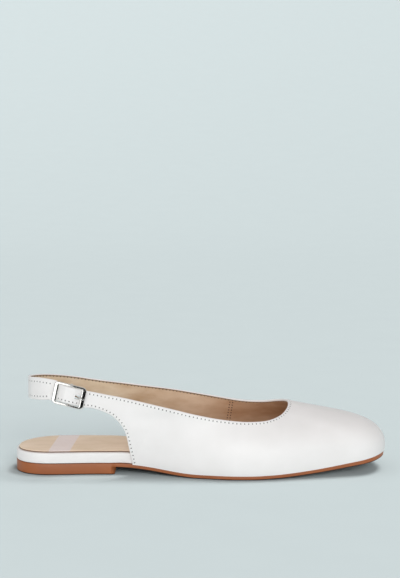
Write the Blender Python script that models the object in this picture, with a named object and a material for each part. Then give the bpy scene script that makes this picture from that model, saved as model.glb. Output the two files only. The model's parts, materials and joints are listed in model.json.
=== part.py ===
"""A women's sling back flat, right foot, as solids in metres, +Z up, toe towards +X, lateral side towards -Y.

The shoe is drawn from the back of the heel: x runs along the heel's axis, y is out to the medial side, and
z is up from the floor. At the end everything is moved so that the origin is under the middle of its box.
"""

import math

import bmesh
import bpy
import numpy as np
from mathutils import Matrix, Vector

MM = 0.001
FIT_GAP = 0.3 * MM

# Unit sole: one moulding of sole and low heel
LENGTH = 252 * MM
BALL_WIDTH = 79 * MM
HEEL_ROUND = 27 * MM
HEEL_SQUARE = 2.25
TOE_ROUND = 20 * MM
TOE_SQUARE = 2.2
SOLE_THICKNESS = 2.8 * MM
HEEL_LIFT = 4.8 * MM
HEEL_LENGTH = 69 * MM
BREAST_SLANT = 0.9 * MM
SHANK_END = 126 * MM
BALL_FLAT_END = 160 * MM
TOE_SPRING = 9.6 * MM
TOE_SPRING_CURVE = 1.7
TOE_THICKENING = 0.8 * MM
TOE_THICKENING_CURVE = 3
SOLE_EDGE_ROUND = 0.7 * MM

# Footbed: a thick insole board wrapped in the upper's leather, with a sock on it
FOOTBED_HEEL = 7.0 * MM
FOOTBED_BALL = 4.2 * MM
FOOTBED_STEP_START = 78 * MM
FOOTBED_STEP_END = 150 * MM
FOOTBED_ROUND = 0.9 * MM
FOOTBED_INSET = 0.2 * MM
FOOTBED_TUCK_START = 14 * MM
FOOTBED_TUCK_END = 2 * MM
SOCK_THICKNESS = 1.0 * MM
SOCK_INSET = 1.6 * MM

# Upper: leather and lining together
UPPER_WALL = 1.6 * MM
STRAP_WALL = 1.35 * MM
TAIL_WALL = 1.15 * MM
WRAP_WALL = 0.9 * MM
UPPER_OVERHANG = 0.8 * MM
TOPLINE_HEIGHT = 63 * MM
SHOULDER_SWELL = 2 * MM

# Buckle: an oblong frame, a bar set below its middle, and a prong
FRAME_LENGTH = 22.4 * MM
FRAME_HEIGHT = 15.2 * MM
FRAME_END_WIDTH = 3.2 * MM
FRAME_RAIL_WIDTH = 1.5 * MM
FRAME_THICKNESS = 1.6 * MM
FRAME_CORNER = 2.6 * MM
FRAME_RISE = 3.1 * MM
BAR_RADIUS = 0.8 * MM
PRONG_RADIUS = 0.6 * MM
PRONG_RING_WIDTH = 1.7 * MM
EYE_CLEARANCE = 0.25 * MM
BUCKLE_SLOPE = math.radians(12.5)
BUCKLE_TURN = math.radians(8.5)
HEEL_STRAP_WIDTH = 14.2 * MM

# Where the frame's front end lies: shares of LENGTH, BALL_WIDTH and TOPLINE_HEIGHT
BUCKLE_FRONT = (0.195, -0.266, 0.815)

# How far the straps' ends stand off the frame: the tail in front of it and under its back end, the heel strap
# behind it, the fold's return short of its back end, and the tail's straight runs under its two ends
TAIL_LEAD = 0.8 * MM
TAIL_TUCK = 0.4 * MM
HEEL_STRAP_LEAD = 2.8 * MM
RETURN_TUCK = 0.5 * MM
TAIL_FLAT_BACK = 0.2 * MM
TAIL_FLAT_FRONT = 0.9 * MM

# Along the strap from the bar, and out from the bar's axis
FRAME_END = FRAME_LENGTH / 2 - FRAME_END_WIDTH
TAIL_WIDTH = FRAME_HEIGHT - FRAME_RAIL_WIDTH - 2 * max(BAR_RADIUS, FRAME_RAIL_WIDTH / 2) - 2 * FIT_GAP
TAIL_START = FRAME_LENGTH / 2 + TAIL_LEAD
TAIL_END = -FRAME_LENGTH / 2 + TAIL_TUCK
HEEL_STRAP_END = -FRAME_LENGTH / 2 - HEEL_STRAP_LEAD
RETURN_END = -FRAME_END + RETURN_TUCK
WRAP_OUTER = BAR_RADIUS + FIT_GAP + WRAP_WALL
HUMP_HALF = WRAP_OUTER + FIT_GAP
HOLE_START, HOLE_END = 0.5 * FRAME_END, 0.9 * FRAME_END
TAIL_HIGH = WRAP_OUTER + FIT_GAP + TAIL_WALL
TAIL_LOW = FRAME_RISE - FRAME_THICKNESS / 2 - FIT_GAP

# Outline of the sole: share of LENGTH, then shares of BALL_WIDTH out to each side of the heel's axis.
# The ends of the outline are closed by the heel's and the toe's own round.
OUTLINE_ROWS = (
    # along, lateral, medial
    (0.00, 0.345, 0.255),
    (0.12, 0.328, 0.332),
    (0.24, 0.308, 0.329),
    (0.36, 0.342, 0.300),
    (0.48, 0.447, 0.356),
    (0.60, 0.512, 0.450),
    (0.70, 0.487, 0.482),
    (0.80, 0.415, 0.440),
    (0.90, 0.335, 0.368),
    (1.00, 0.285, 0.318),
)

# Topline from the buckle to the throat: share of LENGTH, shares of BALL_WIDTH out from the axis, shares of
# TOPLINE_HEIGHT, then how far the rib below leans to the box of the toe, and its share of SHOULDER_SWELL, which
# is the swell of the rib beside the throat's corner.
TOPLINE_ROWS = (
    # along, lateral, medial, lateral_height, medial_height, boxed, swell
    (0.216, 0.300, 0.278, 0.893, 0.904, 0.02, 0.05),
    (0.246, 0.316, 0.290, 0.872, 0.886, 0.05, 0.15),
    (0.290, 0.337, 0.306, 0.844, 0.862, 0.10, 0.35),
    (0.329, 0.358, 0.322, 0.814, 0.838, 0.15, 0.60),
    (0.369, 0.380, 0.339, 0.781, 0.814, 0.22, 0.85),
    (0.409, 0.400, 0.354, 0.746, 0.788, 0.30, 1.10),
    (0.476, 0.427, 0.374, 0.688, 0.740, 0.42, 1.30),
    (0.556, 0.433, 0.385, 0.632, 0.686, 0.55, 1.40),
    (0.627, 0.409, 0.372, 0.603, 0.651, 0.70, 1.40),
    (0.679, 0.351, 0.329, 0.605, 0.657, 0.82, 1.30),
    (0.712, 0.253, 0.247, 0.633, 0.688, 0.92, 1.00),
    (0.733, 0.124, 0.136, 0.682, 0.713, 0.98, 0.70),
    (0.739, -0.010, 0.010, 0.717, 0.717, 1.00, 0.45),
)

# Where the ribs of those rows end. The first five are on the back edge of the quarter, as shares of LENGTH
# and TOPLINE_HEIGHT. The rest are on the sole's edge, as shares of the way round it from heel to toe tip.
BACK_EDGE_ROWS = (
    # along, height
    (0.2085, 0.722),
    (0.2440, 0.681),
    (0.2770, 0.598),
    (0.2985, 0.478),
    (0.3090, 0.310),
)
SOLE_EDGE_SHARES = (0.3285, 0.424, 0.542, 0.642, 0.740, 0.832, 0.922, 1.000)

# Heel strap from the medial quarter round the heel: shares of LENGTH, BALL_WIDTH and TOPLINE_HEIGHT.
HEEL_STRAP_ROWS = (
    # along, out, top, bottom
    (0.163, 0.264, 0.938, 0.746),
    (0.111, 0.238, 0.966, 0.756),
    (0.068, 0.184, 0.985, 0.760),
    (0.041, 0.104, 0.995, 0.762),
    (0.031, 0.004, 1.003, 0.766),
    (0.041, -0.096, 1.013, 0.772),
    (0.066, -0.171, 1.022, 0.780),
)
STRAP_LEAN = 0.5 * MM

# A rib of the last is a curve of degree four. Its three inner controls, as shares of its reach and its rise,
# for a plain rib and for the toe's, and how much of the swell each one takes.
PLAIN_CURVE = ((0.25, 0.25), (0.50, 0.50), (0.75, 0.75))
BLUNT_CURVE = ((0.00, 0.26), (0.00, 0.73), (0.44, 0.72))
SWELL_SHARES = (1.0, 0.7, 0.15)

# The prong's shank: shares of FRAME_END along the strap and of its full height, then shares of
# FRAME_END_WIDTH where it lies on the frame's front end
SHANK_RISE = ((0.19, 0.12), (0.40, 0.16), (0.60, 0.23), (0.70, 0.42), (0.86, 0.72), (0.97, 0.94))
SHANK_REST = (0.36, 0.90)

RIB_CELLS = 11
WALL_TAPER_RIBS = 12
PRONG_CELLS = (4, 5, 6)
OUTLINE_SAMPLES = 600

LATERAL, MEDIAL = -1, 1


def smooth(knots, rows, at):
    """Values of a smooth curve through rows, each row at its knot, read at the places in at."""
    knots = np.asarray(knots, float)
    rows = np.asarray(rows, float).reshape(len(knots), -1)
    step = np.diff(knots)[:, None]
    chord = np.diff(rows, axis=0) / step
    slope = np.empty_like(rows)
    slope[1:-1] = (chord[:-1] * step[1:] + chord[1:] * step[:-1]) / (step[1:] + step[:-1])
    slope[0] = 1.5 * chord[0] - 0.5 * slope[1]
    slope[-1] = 1.5 * chord[-1] - 0.5 * slope[-2]
    at = np.atleast_1d(np.asarray(at, float))
    cell = np.clip(np.searchsorted(knots, at, side="right") - 1, 0, len(knots) - 2)
    width = step[cell]
    t = ((at - knots[cell])[:, None]) / width
    near, far = rows[cell], rows[cell + 1]
    out = (2 * t**3 - 3 * t**2 + 1) * near + (t**3 - 2 * t**2 + t) * width * slope[cell]
    return out + (3 * t**2 - 2 * t**3) * far + (t**3 - t**2) * width * slope[cell + 1]


def ease(x, start, end):
    """0 before start, 1 after end, and a smooth step between them."""
    t = min(1.0, max(0.0, (x - start) / (end - start)))
    return t * t * (3 - 2 * t)


def half_widths(x):
    """How far the sole reaches to the lateral and to the medial side at x."""
    rows = np.array(OUTLINE_ROWS)
    lateral, medial = smooth(rows[:, 0], rows[:, 1:] * BALL_WIDTH, x / LENGTH)[0]
    middle, half = (medial - lateral) / 2, (medial + lateral) / 2
    heel = min(1.0, x / HEEL_ROUND)
    toe = min(1.0, (LENGTH - x) / TOE_ROUND)
    half *= max(0.0, 1 - (1 - heel) ** HEEL_SQUARE) ** (1 / HEEL_SQUARE)
    half *= max(0.0, 1 - (1 - toe) ** TOE_SQUARE) ** (1 / TOE_SQUARE)
    return middle - half, middle + half


def outline_side(side):
    """One side of the sole's outline from heel to toe: points, outward normals and shares of its length."""
    turn = np.linspace(0, math.pi, OUTLINE_SAMPLES)
    along = LENGTH * (1 - np.cos(turn)) / 2
    out = np.array([half_widths(x)[0 if side == LATERAL else 1] for x in along])
    points = np.stack([along, out], 1)
    step = np.gradient(points, axis=0)
    normals = np.stack([-step[:, 1], step[:, 0]], 1) * side
    normals[0], normals[-1] = (-1, 0), (1, 0)
    normals /= np.linalg.norm(normals, axis=1)[:, None]
    length = np.concatenate([[0], np.cumsum(np.linalg.norm(np.diff(points, axis=0), axis=1))])
    return points, normals, length / length[-1]


OUTLINE = {side: outline_side(side) for side in (LATERAL, MEDIAL)}


def sole_edge(side, share, out=0.0):
    """Point of the sole's outline at a share of the way from heel to toe tip, moved outwards by out."""
    points, normals, shares = OUTLINE[side]
    place = np.array([np.interp(share, shares, points[:, k]) for k in (0, 1)])
    normal = np.array([np.interp(share, shares, normals[:, k]) for k in (0, 1)])
    return place + out * normal / np.linalg.norm(normal), normal


def edge_share(side, x):
    """Share of the way round the outline at which it passes x."""
    points, _, shares = OUTLINE[side]
    return float(np.interp(x, points[:, 0], shares))


def toe_share(x):
    """0 up to the end of the ball's flat, and 1 at the toe's tip."""
    return max(0.0, (x - BALL_FLAT_END) / (LENGTH - BALL_FLAT_END))


def sole_underside(x):
    """Height of the sole's underside, without the heel block."""
    shank = HEEL_LIFT * (1 - ease(x, HEEL_LENGTH, SHANK_END))
    return shank + TOE_SPRING * toe_share(x) ** TOE_SPRING_CURVE


def sole_top(x):
    return sole_underside(x) + SOLE_THICKNESS + TOE_THICKENING * toe_share(x) ** TOE_THICKENING_CURVE


def footbed_top(x):
    thickness = FOOTBED_HEEL + (FOOTBED_BALL - FOOTBED_HEEL) * ease(x, FOOTBED_STEP_START, FOOTBED_STEP_END)
    return sole_top(x) + FIT_GAP + thickness


def mesh_object(name, bm, material):
    """A named object from a bmesh, closed, with its faces turned outwards and round parts shaded smooth."""
    bmesh.ops.remove_doubles(bm, verts=bm.verts, dist=0.001 * MM)
    bmesh.ops.dissolve_degenerate(bm, edges=bm.edges, dist=0.001 * MM)
    bmesh.ops.recalc_face_normals(bm, faces=bm.faces)
    mesh = bpy.data.meshes.new(name)
    bm.to_mesh(mesh)
    bm.free()
    mesh.materials.append(material)
    mesh.shade_smooth()
    mesh.set_sharp_from_angle(angle=math.radians(40))
    obj = bpy.data.objects.new(name, mesh)
    bpy.context.scene.collection.objects.link(obj)
    return obj


def loft(rings, closed_path=False):
    """A bmesh skin over rings of points. An open path is capped at both ends."""
    bm = bmesh.new()
    loops = [[bm.verts.new(p) for p in ring] for ring in rings]
    pairs = list(zip(loops, loops[1:]))
    if closed_path:
        pairs.append((loops[-1], loops[0]))
    else:
        bm.faces.new(loops[0])
        bm.faces.new(loops[-1])
    count = len(loops[0])
    for a, b in pairs:
        for k in range(count):
            bm.faces.new((a[k], a[(k + 1) % count], b[(k + 1) % count], b[k]))
    return bm


def stations(start, end, count, extra=()):
    """Places along the shoe, closer together towards heel and toe, with the extra ones among them."""
    turns = [math.acos(1 - 2 * x / LENGTH) for x in (start, end)]
    places = [LENGTH * (1 - math.cos(t)) / 2 for t in np.linspace(*turns, count)]
    keep = [x for x in places if all(abs(x - e) > 1.5 * MM for e in extra)]
    return sorted(keep + list(extra))


def plate(places, levels):
    """Rings for a plate that follows the sole's outline. Each level is (inset, height), both functions of x,
    going down the side from the top face to the bottom one."""
    rings = []
    for x in places:
        sides = []
        for side in (LATERAL, MEDIAL):
            share = edge_share(side, x)
            points = []
            for inset, height in levels:
                (px, py), _ = sole_edge(side, share, -inset(x))
                points.append((px, py, height(x)))
            sides.append(points)
        rings.append(sides[0][::-1] + sides[1])
    return rings


def make_unit_sole(material):
    """Sole and heel in one moulding: a thin bent plate with the low heel standing under its back end."""

    def under(x):
        return 0.0 if x < HEEL_LENGTH - BREAST_SLANT / 2 else sole_underside(x)

    levels = (
        (lambda x: 0.0, sole_top),
        (lambda x: 0.0, lambda x: under(x) + SOLE_EDGE_ROUND),
        (lambda x: SOLE_EDGE_ROUND, under),
    )
    places = stations(0, LENGTH, 64, (HEEL_LENGTH - BREAST_SLANT, HEEL_LENGTH, SHANK_END, BALL_FLAT_END))
    return mesh_object("unit_sole", loft(plate(places, levels)), material)


def footbed_inset(x):
    """The wrapped board is flush with the sole at the heel and steps in to fit inside the upper."""
    inside = UPPER_WALL - UPPER_OVERHANG + 2 * FIT_GAP
    quarter = BACK_EDGE_ROWS[-1][0] * LENGTH
    tuck = ease(x, quarter - FOOTBED_TUCK_START, quarter - FOOTBED_TUCK_END)
    return FOOTBED_INSET + (inside - FOOTBED_INSET) * tuck


def make_footbed(material):
    """Thick insole board wrapped in white leather, standing on the sole from heel to toe."""
    levels = (
        (lambda x: footbed_inset(x) + FOOTBED_ROUND, footbed_top),
        (footbed_inset, lambda x: footbed_top(x) - FOOTBED_ROUND),
        (footbed_inset, lambda x: sole_top(x) + FIT_GAP + FOOTBED_ROUND / 2),
        (lambda x: footbed_inset(x) + FOOTBED_ROUND / 2, lambda x: sole_top(x) + FIT_GAP),
    )
    return mesh_object("footbed", loft(plate(stations(0, LENGTH, 46), levels)), material)


def make_sock(material):
    """Padded leather sock on the footbed."""

    def inset(x):
        return footbed_inset(x) + SOCK_INSET

    levels = (
        (inset, lambda x: footbed_top(x) + FIT_GAP + SOCK_THICKNESS),
        (inset, lambda x: footbed_top(x) + FIT_GAP),
    )
    return mesh_object("sock", loft(plate(stations(0, LENGTH, 46), levels)), material)


def buckle_place():
    """The buckle's matrix: local X along the strap to the toe, Y up across it, Z out, bar at the origin."""
    along = Vector((
        math.cos(BUCKLE_SLOPE) * math.cos(BUCKLE_TURN),
        -math.cos(BUCKLE_SLOPE) * math.sin(BUCKLE_TURN),
        -math.sin(BUCKLE_SLOPE),
    ))
    out = Vector((-math.sin(BUCKLE_TURN), -math.cos(BUCKLE_TURN), 0))
    across = out.cross(along)
    place = Matrix((along, across, out)).transposed().to_4x4()
    front = Vector(share * size for share, size in zip(BUCKLE_FRONT, (LENGTH, BALL_WIDTH, TOPLINE_HEIGHT)))
    place.translation = front - along * FRAME_LENGTH / 2
    return place


def hump(x):
    """0 under the frame's end bars and 1 over the bar in the middle, along the strap."""
    return ease(x, -FRAME_END, -HUMP_HALF) * (1 - ease(x, HUMP_HALF, FRAME_END + FIT_GAP))


def tail_out(x):
    """How far out the tail's outer face lies, along the buckle."""
    return TAIL_LOW + (TAIL_HIGH - TAIL_LOW) * hump(x)


def heel_strap_out(x):
    """How far out the heel strap's outer face lies, where the tail covers it."""
    return tail_out(x) - TAIL_WALL - FIT_GAP


def strap_rib(place, x, out, half):
    """A straight rib across a strap in the buckle's own frame, top to bottom."""
    return [place @ Vector((x, half * (1 - 2 * k / RIB_CELLS), out)) for k in range(RIB_CELLS + 1)]


def bent_rib(top, foot, outward, boxed, swell):
    """A rib of the last from the topline down to its foot, as a curve of degree four.
    Boxed at 0 it is nearly straight. At 1 it is the toe's: up a blunt front, over, and along the vamp."""
    reach = np.array([top[0] - foot[0], top[1] - foot[1], 0.0])
    rise = np.array([0, 0, top[2] - foot[2]])
    controls = [np.array(foot)]
    for (a, b), (c, d), push in zip(PLAIN_CURVE, BLUNT_CURVE, SWELL_SHARES):
        inward, up = a + (c - a) * boxed, b + (d - b) * boxed
        controls.append(foot + inward * reach + up * rise + push * swell * outward)
    controls.append(np.array(top))
    curve = []
    for k in range(RIB_CELLS + 1):
        t = 1 - k / RIB_CELLS
        weights = [math.comb(4, i) * t**i * (1 - t) ** (4 - i) for i in range(5)]
        curve.append(Vector(sum(w * c for w, c in zip(weights, controls))))
    return curve


def quarter_top(side, row):
    along, lateral, medial, lateral_height, medial_height = row[:5]
    out = -lateral if side == LATERAL else medial
    height = lateral_height if side == LATERAL else medial_height
    return along * LENGTH, out * BALL_WIDTH, height * TOPLINE_HEIGHT


def back_edge_foot(side, row, top, swell):
    """Foot of a rib that ends on the back edge of the quarter, on the same wall as its neighbours."""
    x, z = row[0] * LENGTH, row[1] * TOPLINE_HEIGHT
    (_, y_sole), _ = sole_edge(side, edge_share(side, x), UPPER_OVERHANG)
    ground = sole_top(x) + FIT_GAP
    share = (z - ground) / (top[2] - ground)
    return x, y_sole + (top[1] - y_sole) * share + side * swell * 3 * share * (1 - share), z


def quarter_ribs(side):
    """Ribs of one half of the upper, from the strap at the buckle's end to the middle of the throat."""
    place = buckle_place()
    tops = [quarter_top(side, row) for row in TOPLINE_ROWS]
    tops.append(quarter_top(-side, TOPLINE_ROWS[-2]))
    shape = [(row[5], row[6] * SHOULDER_SWELL) for row in TOPLINE_ROWS + TOPLINE_ROWS[-2:-1]]
    feet = [
        back_edge_foot(side, row, top, swell)
        for row, top, (_, swell) in zip(BACK_EDGE_ROWS, tops, shape)
    ]
    if side == LATERAL:
        ends = strap_rib(place, TAIL_START, tail_out(TAIL_START), TAIL_WIDTH / 2)
    else:
        along, out, top, bottom = HEEL_STRAP_ROWS[0]
        x, y = along * LENGTH, out * BALL_WIDTH
        ends = [(x, y, top * TOPLINE_HEIGHT), (x, y + STRAP_LEAN, bottom * TOPLINE_HEIGHT)]
    tops.insert(0, tuple(ends[0]))
    shape.insert(0, (0, 0))
    feet.insert(0, tuple(ends[-1]))
    knots = np.concatenate([[0], np.cumsum(np.linalg.norm(np.diff(tops, axis=0), axis=1))])
    corner = len(feet)
    corner_foot, _ = sole_edge(side, SOLE_EDGE_SHARES[0], UPPER_OVERHANG)
    feet.append((*corner_foot, sole_top(corner_foot[0]) + FIT_GAP))
    steps = [2] * 2 + [3] * (corner - 2) + [3, 4, 4, 5, 6, 7, 7]
    ribs = []
    for cell, count in enumerate(steps):
        for k in range(count):
            at = knots[cell] + (knots[cell + 1] - knots[cell]) * k / count
            ribs.append(quarter_rib(side, at, knots, tops, shape, feet, corner))
    ribs.append(quarter_rib(side, knots[-2], knots, tops, shape, feet, corner))
    return ribs


def quarter_rib(side, at, knots, tops, shape, feet, corner):
    top = smooth(knots, tops, at)[0]
    boxed, swell = smooth(knots, shape, at)[0]
    if at < knots[corner]:
        foot = smooth(knots[: corner + 1], feet, at)[0]
        outward = np.array([0, side, 0])
    else:
        past_toe = 2 - SOLE_EDGE_SHARES[-2]
        share = smooth(knots[corner:], SOLE_EDGE_SHARES + (past_toe,), at)[0][0]
        (x, y), normal = sole_edge(side, share, UPPER_OVERHANG)
        foot = np.array([x, y, sole_top(x) + FIT_GAP])
        outward = np.array([*normal, 0])
    return bent_rib(top, foot, outward, boxed, swell)


def tail_ribs():
    """The lateral strap's end, from under the frame's back bar over the middle bar to its front one."""
    place = buckle_place()
    spots = [TAIL_END, -FRAME_END - TAIL_FLAT_BACK]
    spots += list(np.linspace(-FRAME_END, -HUMP_HALF, 6)[1:])
    spots += [0, HUMP_HALF, (HUMP_HALF + HOLE_START) / 2]
    spots += [HOLE_START, (HOLE_START + HOLE_END) / 2, HOLE_END, FRAME_END + TAIL_FLAT_FRONT]
    return [strap_rib(place, x, tail_out(x), TAIL_WIDTH / 2) for x in spots], spots


def heel_strap_ribs():
    """The strap from the medial quarter round the heel to the buckle, then round its bar and back."""
    place = buckle_place()
    tops, feet = [], []
    for along, out, top, bottom in HEEL_STRAP_ROWS:
        x, y = along * LENGTH, out * BALL_WIDTH
        lean = STRAP_LEAN if y > 0 else -STRAP_LEAN
        tops.append((x, y, top * TOPLINE_HEIGHT))
        feet.append((x, y + lean, bottom * TOPLINE_HEIGHT))
    end = strap_rib(place, HEEL_STRAP_END, heel_strap_out(HEEL_STRAP_END), HEEL_STRAP_WIDTH / 2)
    tops.append(tuple(end[0]))
    feet.append(tuple(end[-1]))
    knots = np.concatenate([[0], np.cumsum(np.linalg.norm(np.diff(tops, axis=0), axis=1))])
    ribs = []
    for cell in range(len(knots) - 1):
        for k in range(3):
            at = knots[cell] + (knots[cell + 1] - knots[cell]) * k / 3
            top, foot = smooth(knots, tops, at)[0], smooth(knots, feet, at)[0]
            ribs.append([Vector(top + (foot - top) * i / RIB_CELLS) for i in range(RIB_CELLS + 1)])
    plain = len(ribs)
    half_end, half_wrap = HEEL_STRAP_WIDTH / 2, TAIL_WIDTH / 2
    for x in np.linspace(HEEL_STRAP_END, -HUMP_HALF, 8):
        half = half_end + (half_wrap - half_end) * ease(x, -FRAME_LENGTH / 2, -FRAME_END)
        ribs.append(strap_rib(place, x, heel_strap_out(x), half))
    wrap_start = len(ribs) - 1
    for turn in np.linspace(0, math.pi, 9):
        ribs.append(strap_rib(place, WRAP_OUTER * math.sin(turn), WRAP_OUTER * math.cos(turn), half_wrap))
    ribs.append(strap_rib(place, -HUMP_HALF, -WRAP_OUTER, half_wrap))
    wrap_end = len(ribs) - 1
    ribs.append(strap_rib(place, RETURN_END, -WRAP_OUTER, half_wrap))
    return ribs, plain, wrap_start, wrap_end


def shell(ribs, walls, skipped):
    """A closed wall. Ribs are its outer face, walls its thickness at each, and skipped cells stay open."""
    outer = np.array([[tuple(p) for p in rib] for rib in ribs])
    across = np.gradient(outer, axis=1)
    along = np.gradient(outer, axis=0)
    normals = np.cross(across, along)
    normals /= np.linalg.norm(normals, axis=2)[:, :, None]
    inner = outer - normals * np.asarray(walls)[:, None, None]
    bm = bmesh.new()
    faces = {}
    for name, grid in (("outer", outer), ("inner", inner)):
        faces[name] = [[bm.verts.new(p) for p in row] for row in grid]
    cells = {
        (i, j)
        for i in range(len(ribs) - 1)
        for j in range(RIB_CELLS)
        if (i, j) not in skipped
    }
    for i, j in cells:
        ring = ((i, j), (i, j + 1), (i + 1, j + 1), (i + 1, j))
        bm.faces.new([faces["outer"][a][b] for a, b in ring])
        bm.faces.new([faces["inner"][a][b] for a, b in reversed(ring)])
        for k, (di, dj) in enumerate(((-1, 0), (0, 1), (1, 0), (0, -1))):
            if (i + di, j + dj) in cells:
                continue
            (a, b), (c, d) = ring[k], ring[(k + 1) % 4]
            corners = (("outer", a, b), ("inner", a, b), ("inner", c, d), ("outer", c, d))
            bm.faces.new([faces[name][row][place] for name, row, place in corners])
    loose = [v for v in bm.verts if not v.link_faces]
    bmesh.ops.delete(bm, geom=loose, context="VERTS")
    return bm


def make_upper(material):
    """Vamp, quarters and sling strap, cut and closed as one wall over the last."""
    tail, spots = tail_ribs()
    lateral = quarter_ribs(LATERAL)
    medial = quarter_ribs(MEDIAL)[::-1][1:]
    heel, plain, wrap_start, wrap_end = heel_strap_ribs()
    ribs = tail + lateral + medial[:-1] + heel
    quarters = len(lateral) + len(medial) - 1
    walls = [TAIL_WALL] * len(tail)
    walls += list(np.linspace(TAIL_WALL, UPPER_WALL, WALL_TAPER_RIBS))
    walls += [UPPER_WALL] * (quarters - 2 * WALL_TAPER_RIBS)
    walls += list(np.linspace(UPPER_WALL, STRAP_WALL, WALL_TAPER_RIBS))
    walls += [STRAP_WALL] * plain
    walls += list(np.linspace(STRAP_WALL, WRAP_WALL, wrap_start + 1 - plain))
    walls += [WRAP_WALL] * (len(heel) - wrap_start - 1)
    hole = {(i, j) for i, x in enumerate(spots) if HOLE_START <= x < HOLE_END for j in PRONG_CELLS}
    first = len(ribs) - len(heel)
    slot = {(first + i, j) for i in range(wrap_start, wrap_end) for j in PRONG_CELLS}
    return mesh_object("upper", shell(ribs, walls, hole | slot), material)


def frame_ring(turn_points):
    """Middle line of the buckle's frame in its own plane: x, y and the angle that it faces outwards at."""
    middle = []
    long_half = (FRAME_LENGTH - FRAME_END_WIDTH) / 2
    high_half = (FRAME_HEIGHT - FRAME_RAIL_WIDTH) / 2
    radius = FRAME_CORNER - FRAME_RAIL_WIDTH / 2
    for quarter, (sx, sy) in enumerate(((1, 1), (-1, 1), (-1, -1), (1, -1))):
        centre = (sx * (long_half - radius), sy * (high_half - radius))
        for k in range(turn_points + 1):
            angle = (quarter + k / turn_points) * math.pi / 2
            middle.append((centre[0] + radius * math.cos(angle), centre[1] + radius * math.sin(angle), angle))
    return middle


def tube(path, radius, sides=8):
    """A round rod along a path of points, with flat ends."""
    rings = []
    points = [Vector(p) for p in path]
    for k, point in enumerate(points):
        along = (points[min(k + 1, len(points) - 1)] - points[max(k - 1, 0)]).normalized()
        first = along.cross(Vector((0.1, 0.2, 1)) if abs(along.z) < 0.9 else Vector((0, 1, 0))).normalized()
        second = along.cross(first)
        angles = [2 * math.pi * i / sides for i in range(sides)]
        rings.append([point + radius * (math.cos(a) * first + math.sin(a) * second) for a in angles])
    return loft(rings)


def join(base, other):
    """Fuses another object into base and drops it."""
    fuse = base.modifiers.new("fused", "BOOLEAN")
    fuse.operation = "UNION"
    fuse.object = other
    graph = bpy.context.evaluated_depsgraph_get()
    joined = bpy.data.meshes.new_from_object(base.evaluated_get(graph))
    base.modifiers.remove(fuse)
    base.data = joined
    bpy.data.objects.remove(other)


def make_buckle_frame(material):
    """Cast frame with rounded faces, and the bar that hangs on two short legs under its rails."""
    rings = []
    half_thickness = FRAME_THICKNESS / 2
    for x, y, angle in frame_ring(3):
        end_share = math.cos(angle) ** 2
        half = (FRAME_RAIL_WIDTH + (FRAME_END_WIDTH - FRAME_RAIL_WIDTH) * end_share) / 2
        outward = Vector((math.cos(angle), math.sin(angle), 0))
        ring = []
        for k in range(8):
            turn = 2 * math.pi * (k + 0.5) / 8
            lift = Vector((0, 0, FRAME_RISE + half_thickness * math.sin(turn)))
            ring.append(Vector((x, y, 0)) + half * math.cos(turn) * outward + lift)
        rings.append(ring)
    frame = mesh_object("buckle_frame", loft(rings, closed_path=True), material)
    leg = (FRAME_HEIGHT - FRAME_RAIL_WIDTH) / 2
    bend = BAR_RADIUS
    path = [(0, leg, FRAME_RISE), (0, leg, bend), (0, leg - bend * 0.3, bend * 0.3), (0, leg - bend, 0)]
    path += [(0, -y, z) for _, y, z in reversed(path)]
    join(frame, mesh_object("bar", tube(path, BAR_RADIUS), material))
    frame.matrix_world = buckle_place()
    return frame


def make_prong(material):
    """Prong with its eye round the bar, up through the strap's hole and down on the frame's front bar."""
    eye_inner, eye_outer = BAR_RADIUS + EYE_CLEARANCE, WRAP_OUTER
    rings = []
    for k in range(14):
        turn = 2 * math.pi * k / 14
        out = Vector((math.cos(turn), 0, math.sin(turn)))
        side = Vector((0, PRONG_RING_WIDTH / 2, 0))
        near, far = eye_inner * out, eye_outer * out
        rings.append([near - side, far - side, far + side, near + side])
    prong = mesh_object("buckle_prong", loft(rings, closed_path=True), material)
    over = FRAME_RISE + FRAME_THICKNESS / 2 + FIT_GAP + PRONG_RADIUS
    path = [(share * FRAME_END, 0, rise * over) for share, rise in SHANK_RISE]
    path += [(FRAME_END + share * FRAME_END_WIDTH, 0, over) for share in SHANK_REST]
    join(prong, mesh_object("shank", tube(path, PRONG_RADIUS), material))
    prong.matrix_world = buckle_place()
    return prong


def make_material(name, colour, roughness, metallic=0.0):
    material = bpy.data.materials.new(name)
    material.use_nodes = True
    shader = material.node_tree.nodes["Principled BSDF"]
    shader.inputs["Base Color"].default_value = (*colour, 1)
    shader.inputs["Roughness"].default_value = roughness
    shader.inputs["Metallic"].default_value = metallic
    return material


def centre_on_origin(objects):
    """Moves every piece so that the origin is under the middle of the shoe's box, on the floor."""
    bpy.context.view_layer.update()
    corners = [obj.matrix_world @ v.co for obj in objects for v in obj.data.vertices]
    low = Vector(min(c[k] for c in corners) for k in range(3))
    high = Vector(max(c[k] for c in corners) for k in range(3))
    shift = Vector((-(low.x + high.x) / 2, -(low.y + high.y) / 2, -low.z))
    base = bpy.data.objects.new("shoe", None)
    bpy.context.scene.collection.objects.link(base)
    base.location = shift
    for obj in objects:
        obj.parent = base


def main():
    for obj in list(bpy.data.objects):
        bpy.data.objects.remove(obj)
    white = make_material("white leather", (0.84, 0.83, 0.80), 0.45)
    tan_rubber = make_material("tan rubber", (0.33, 0.14, 0.06), 0.5)
    beige = make_material("beige lining leather", (0.56, 0.40, 0.28), 0.6)
    nickel = make_material("polished nickel", (0.75, 0.74, 0.72), 0.15, 1.0)
    objects = [
        make_unit_sole(tan_rubber),
        make_footbed(white),
        make_sock(beige),
        make_upper(white),
        make_buckle_frame(nickel),
        make_prong(nickel),
    ]
    centre_on_origin(objects)


main()
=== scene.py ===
"""Sling back flat, right foot: the looks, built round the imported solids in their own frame.

Sizes are metres, written from millimetres. The shoe is drawn from the back of the heel, as its solids are:
x along the heel's axis to the toe, y to the medial side, z up from the floor. SHIFT moves that to the frame.
"""

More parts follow.
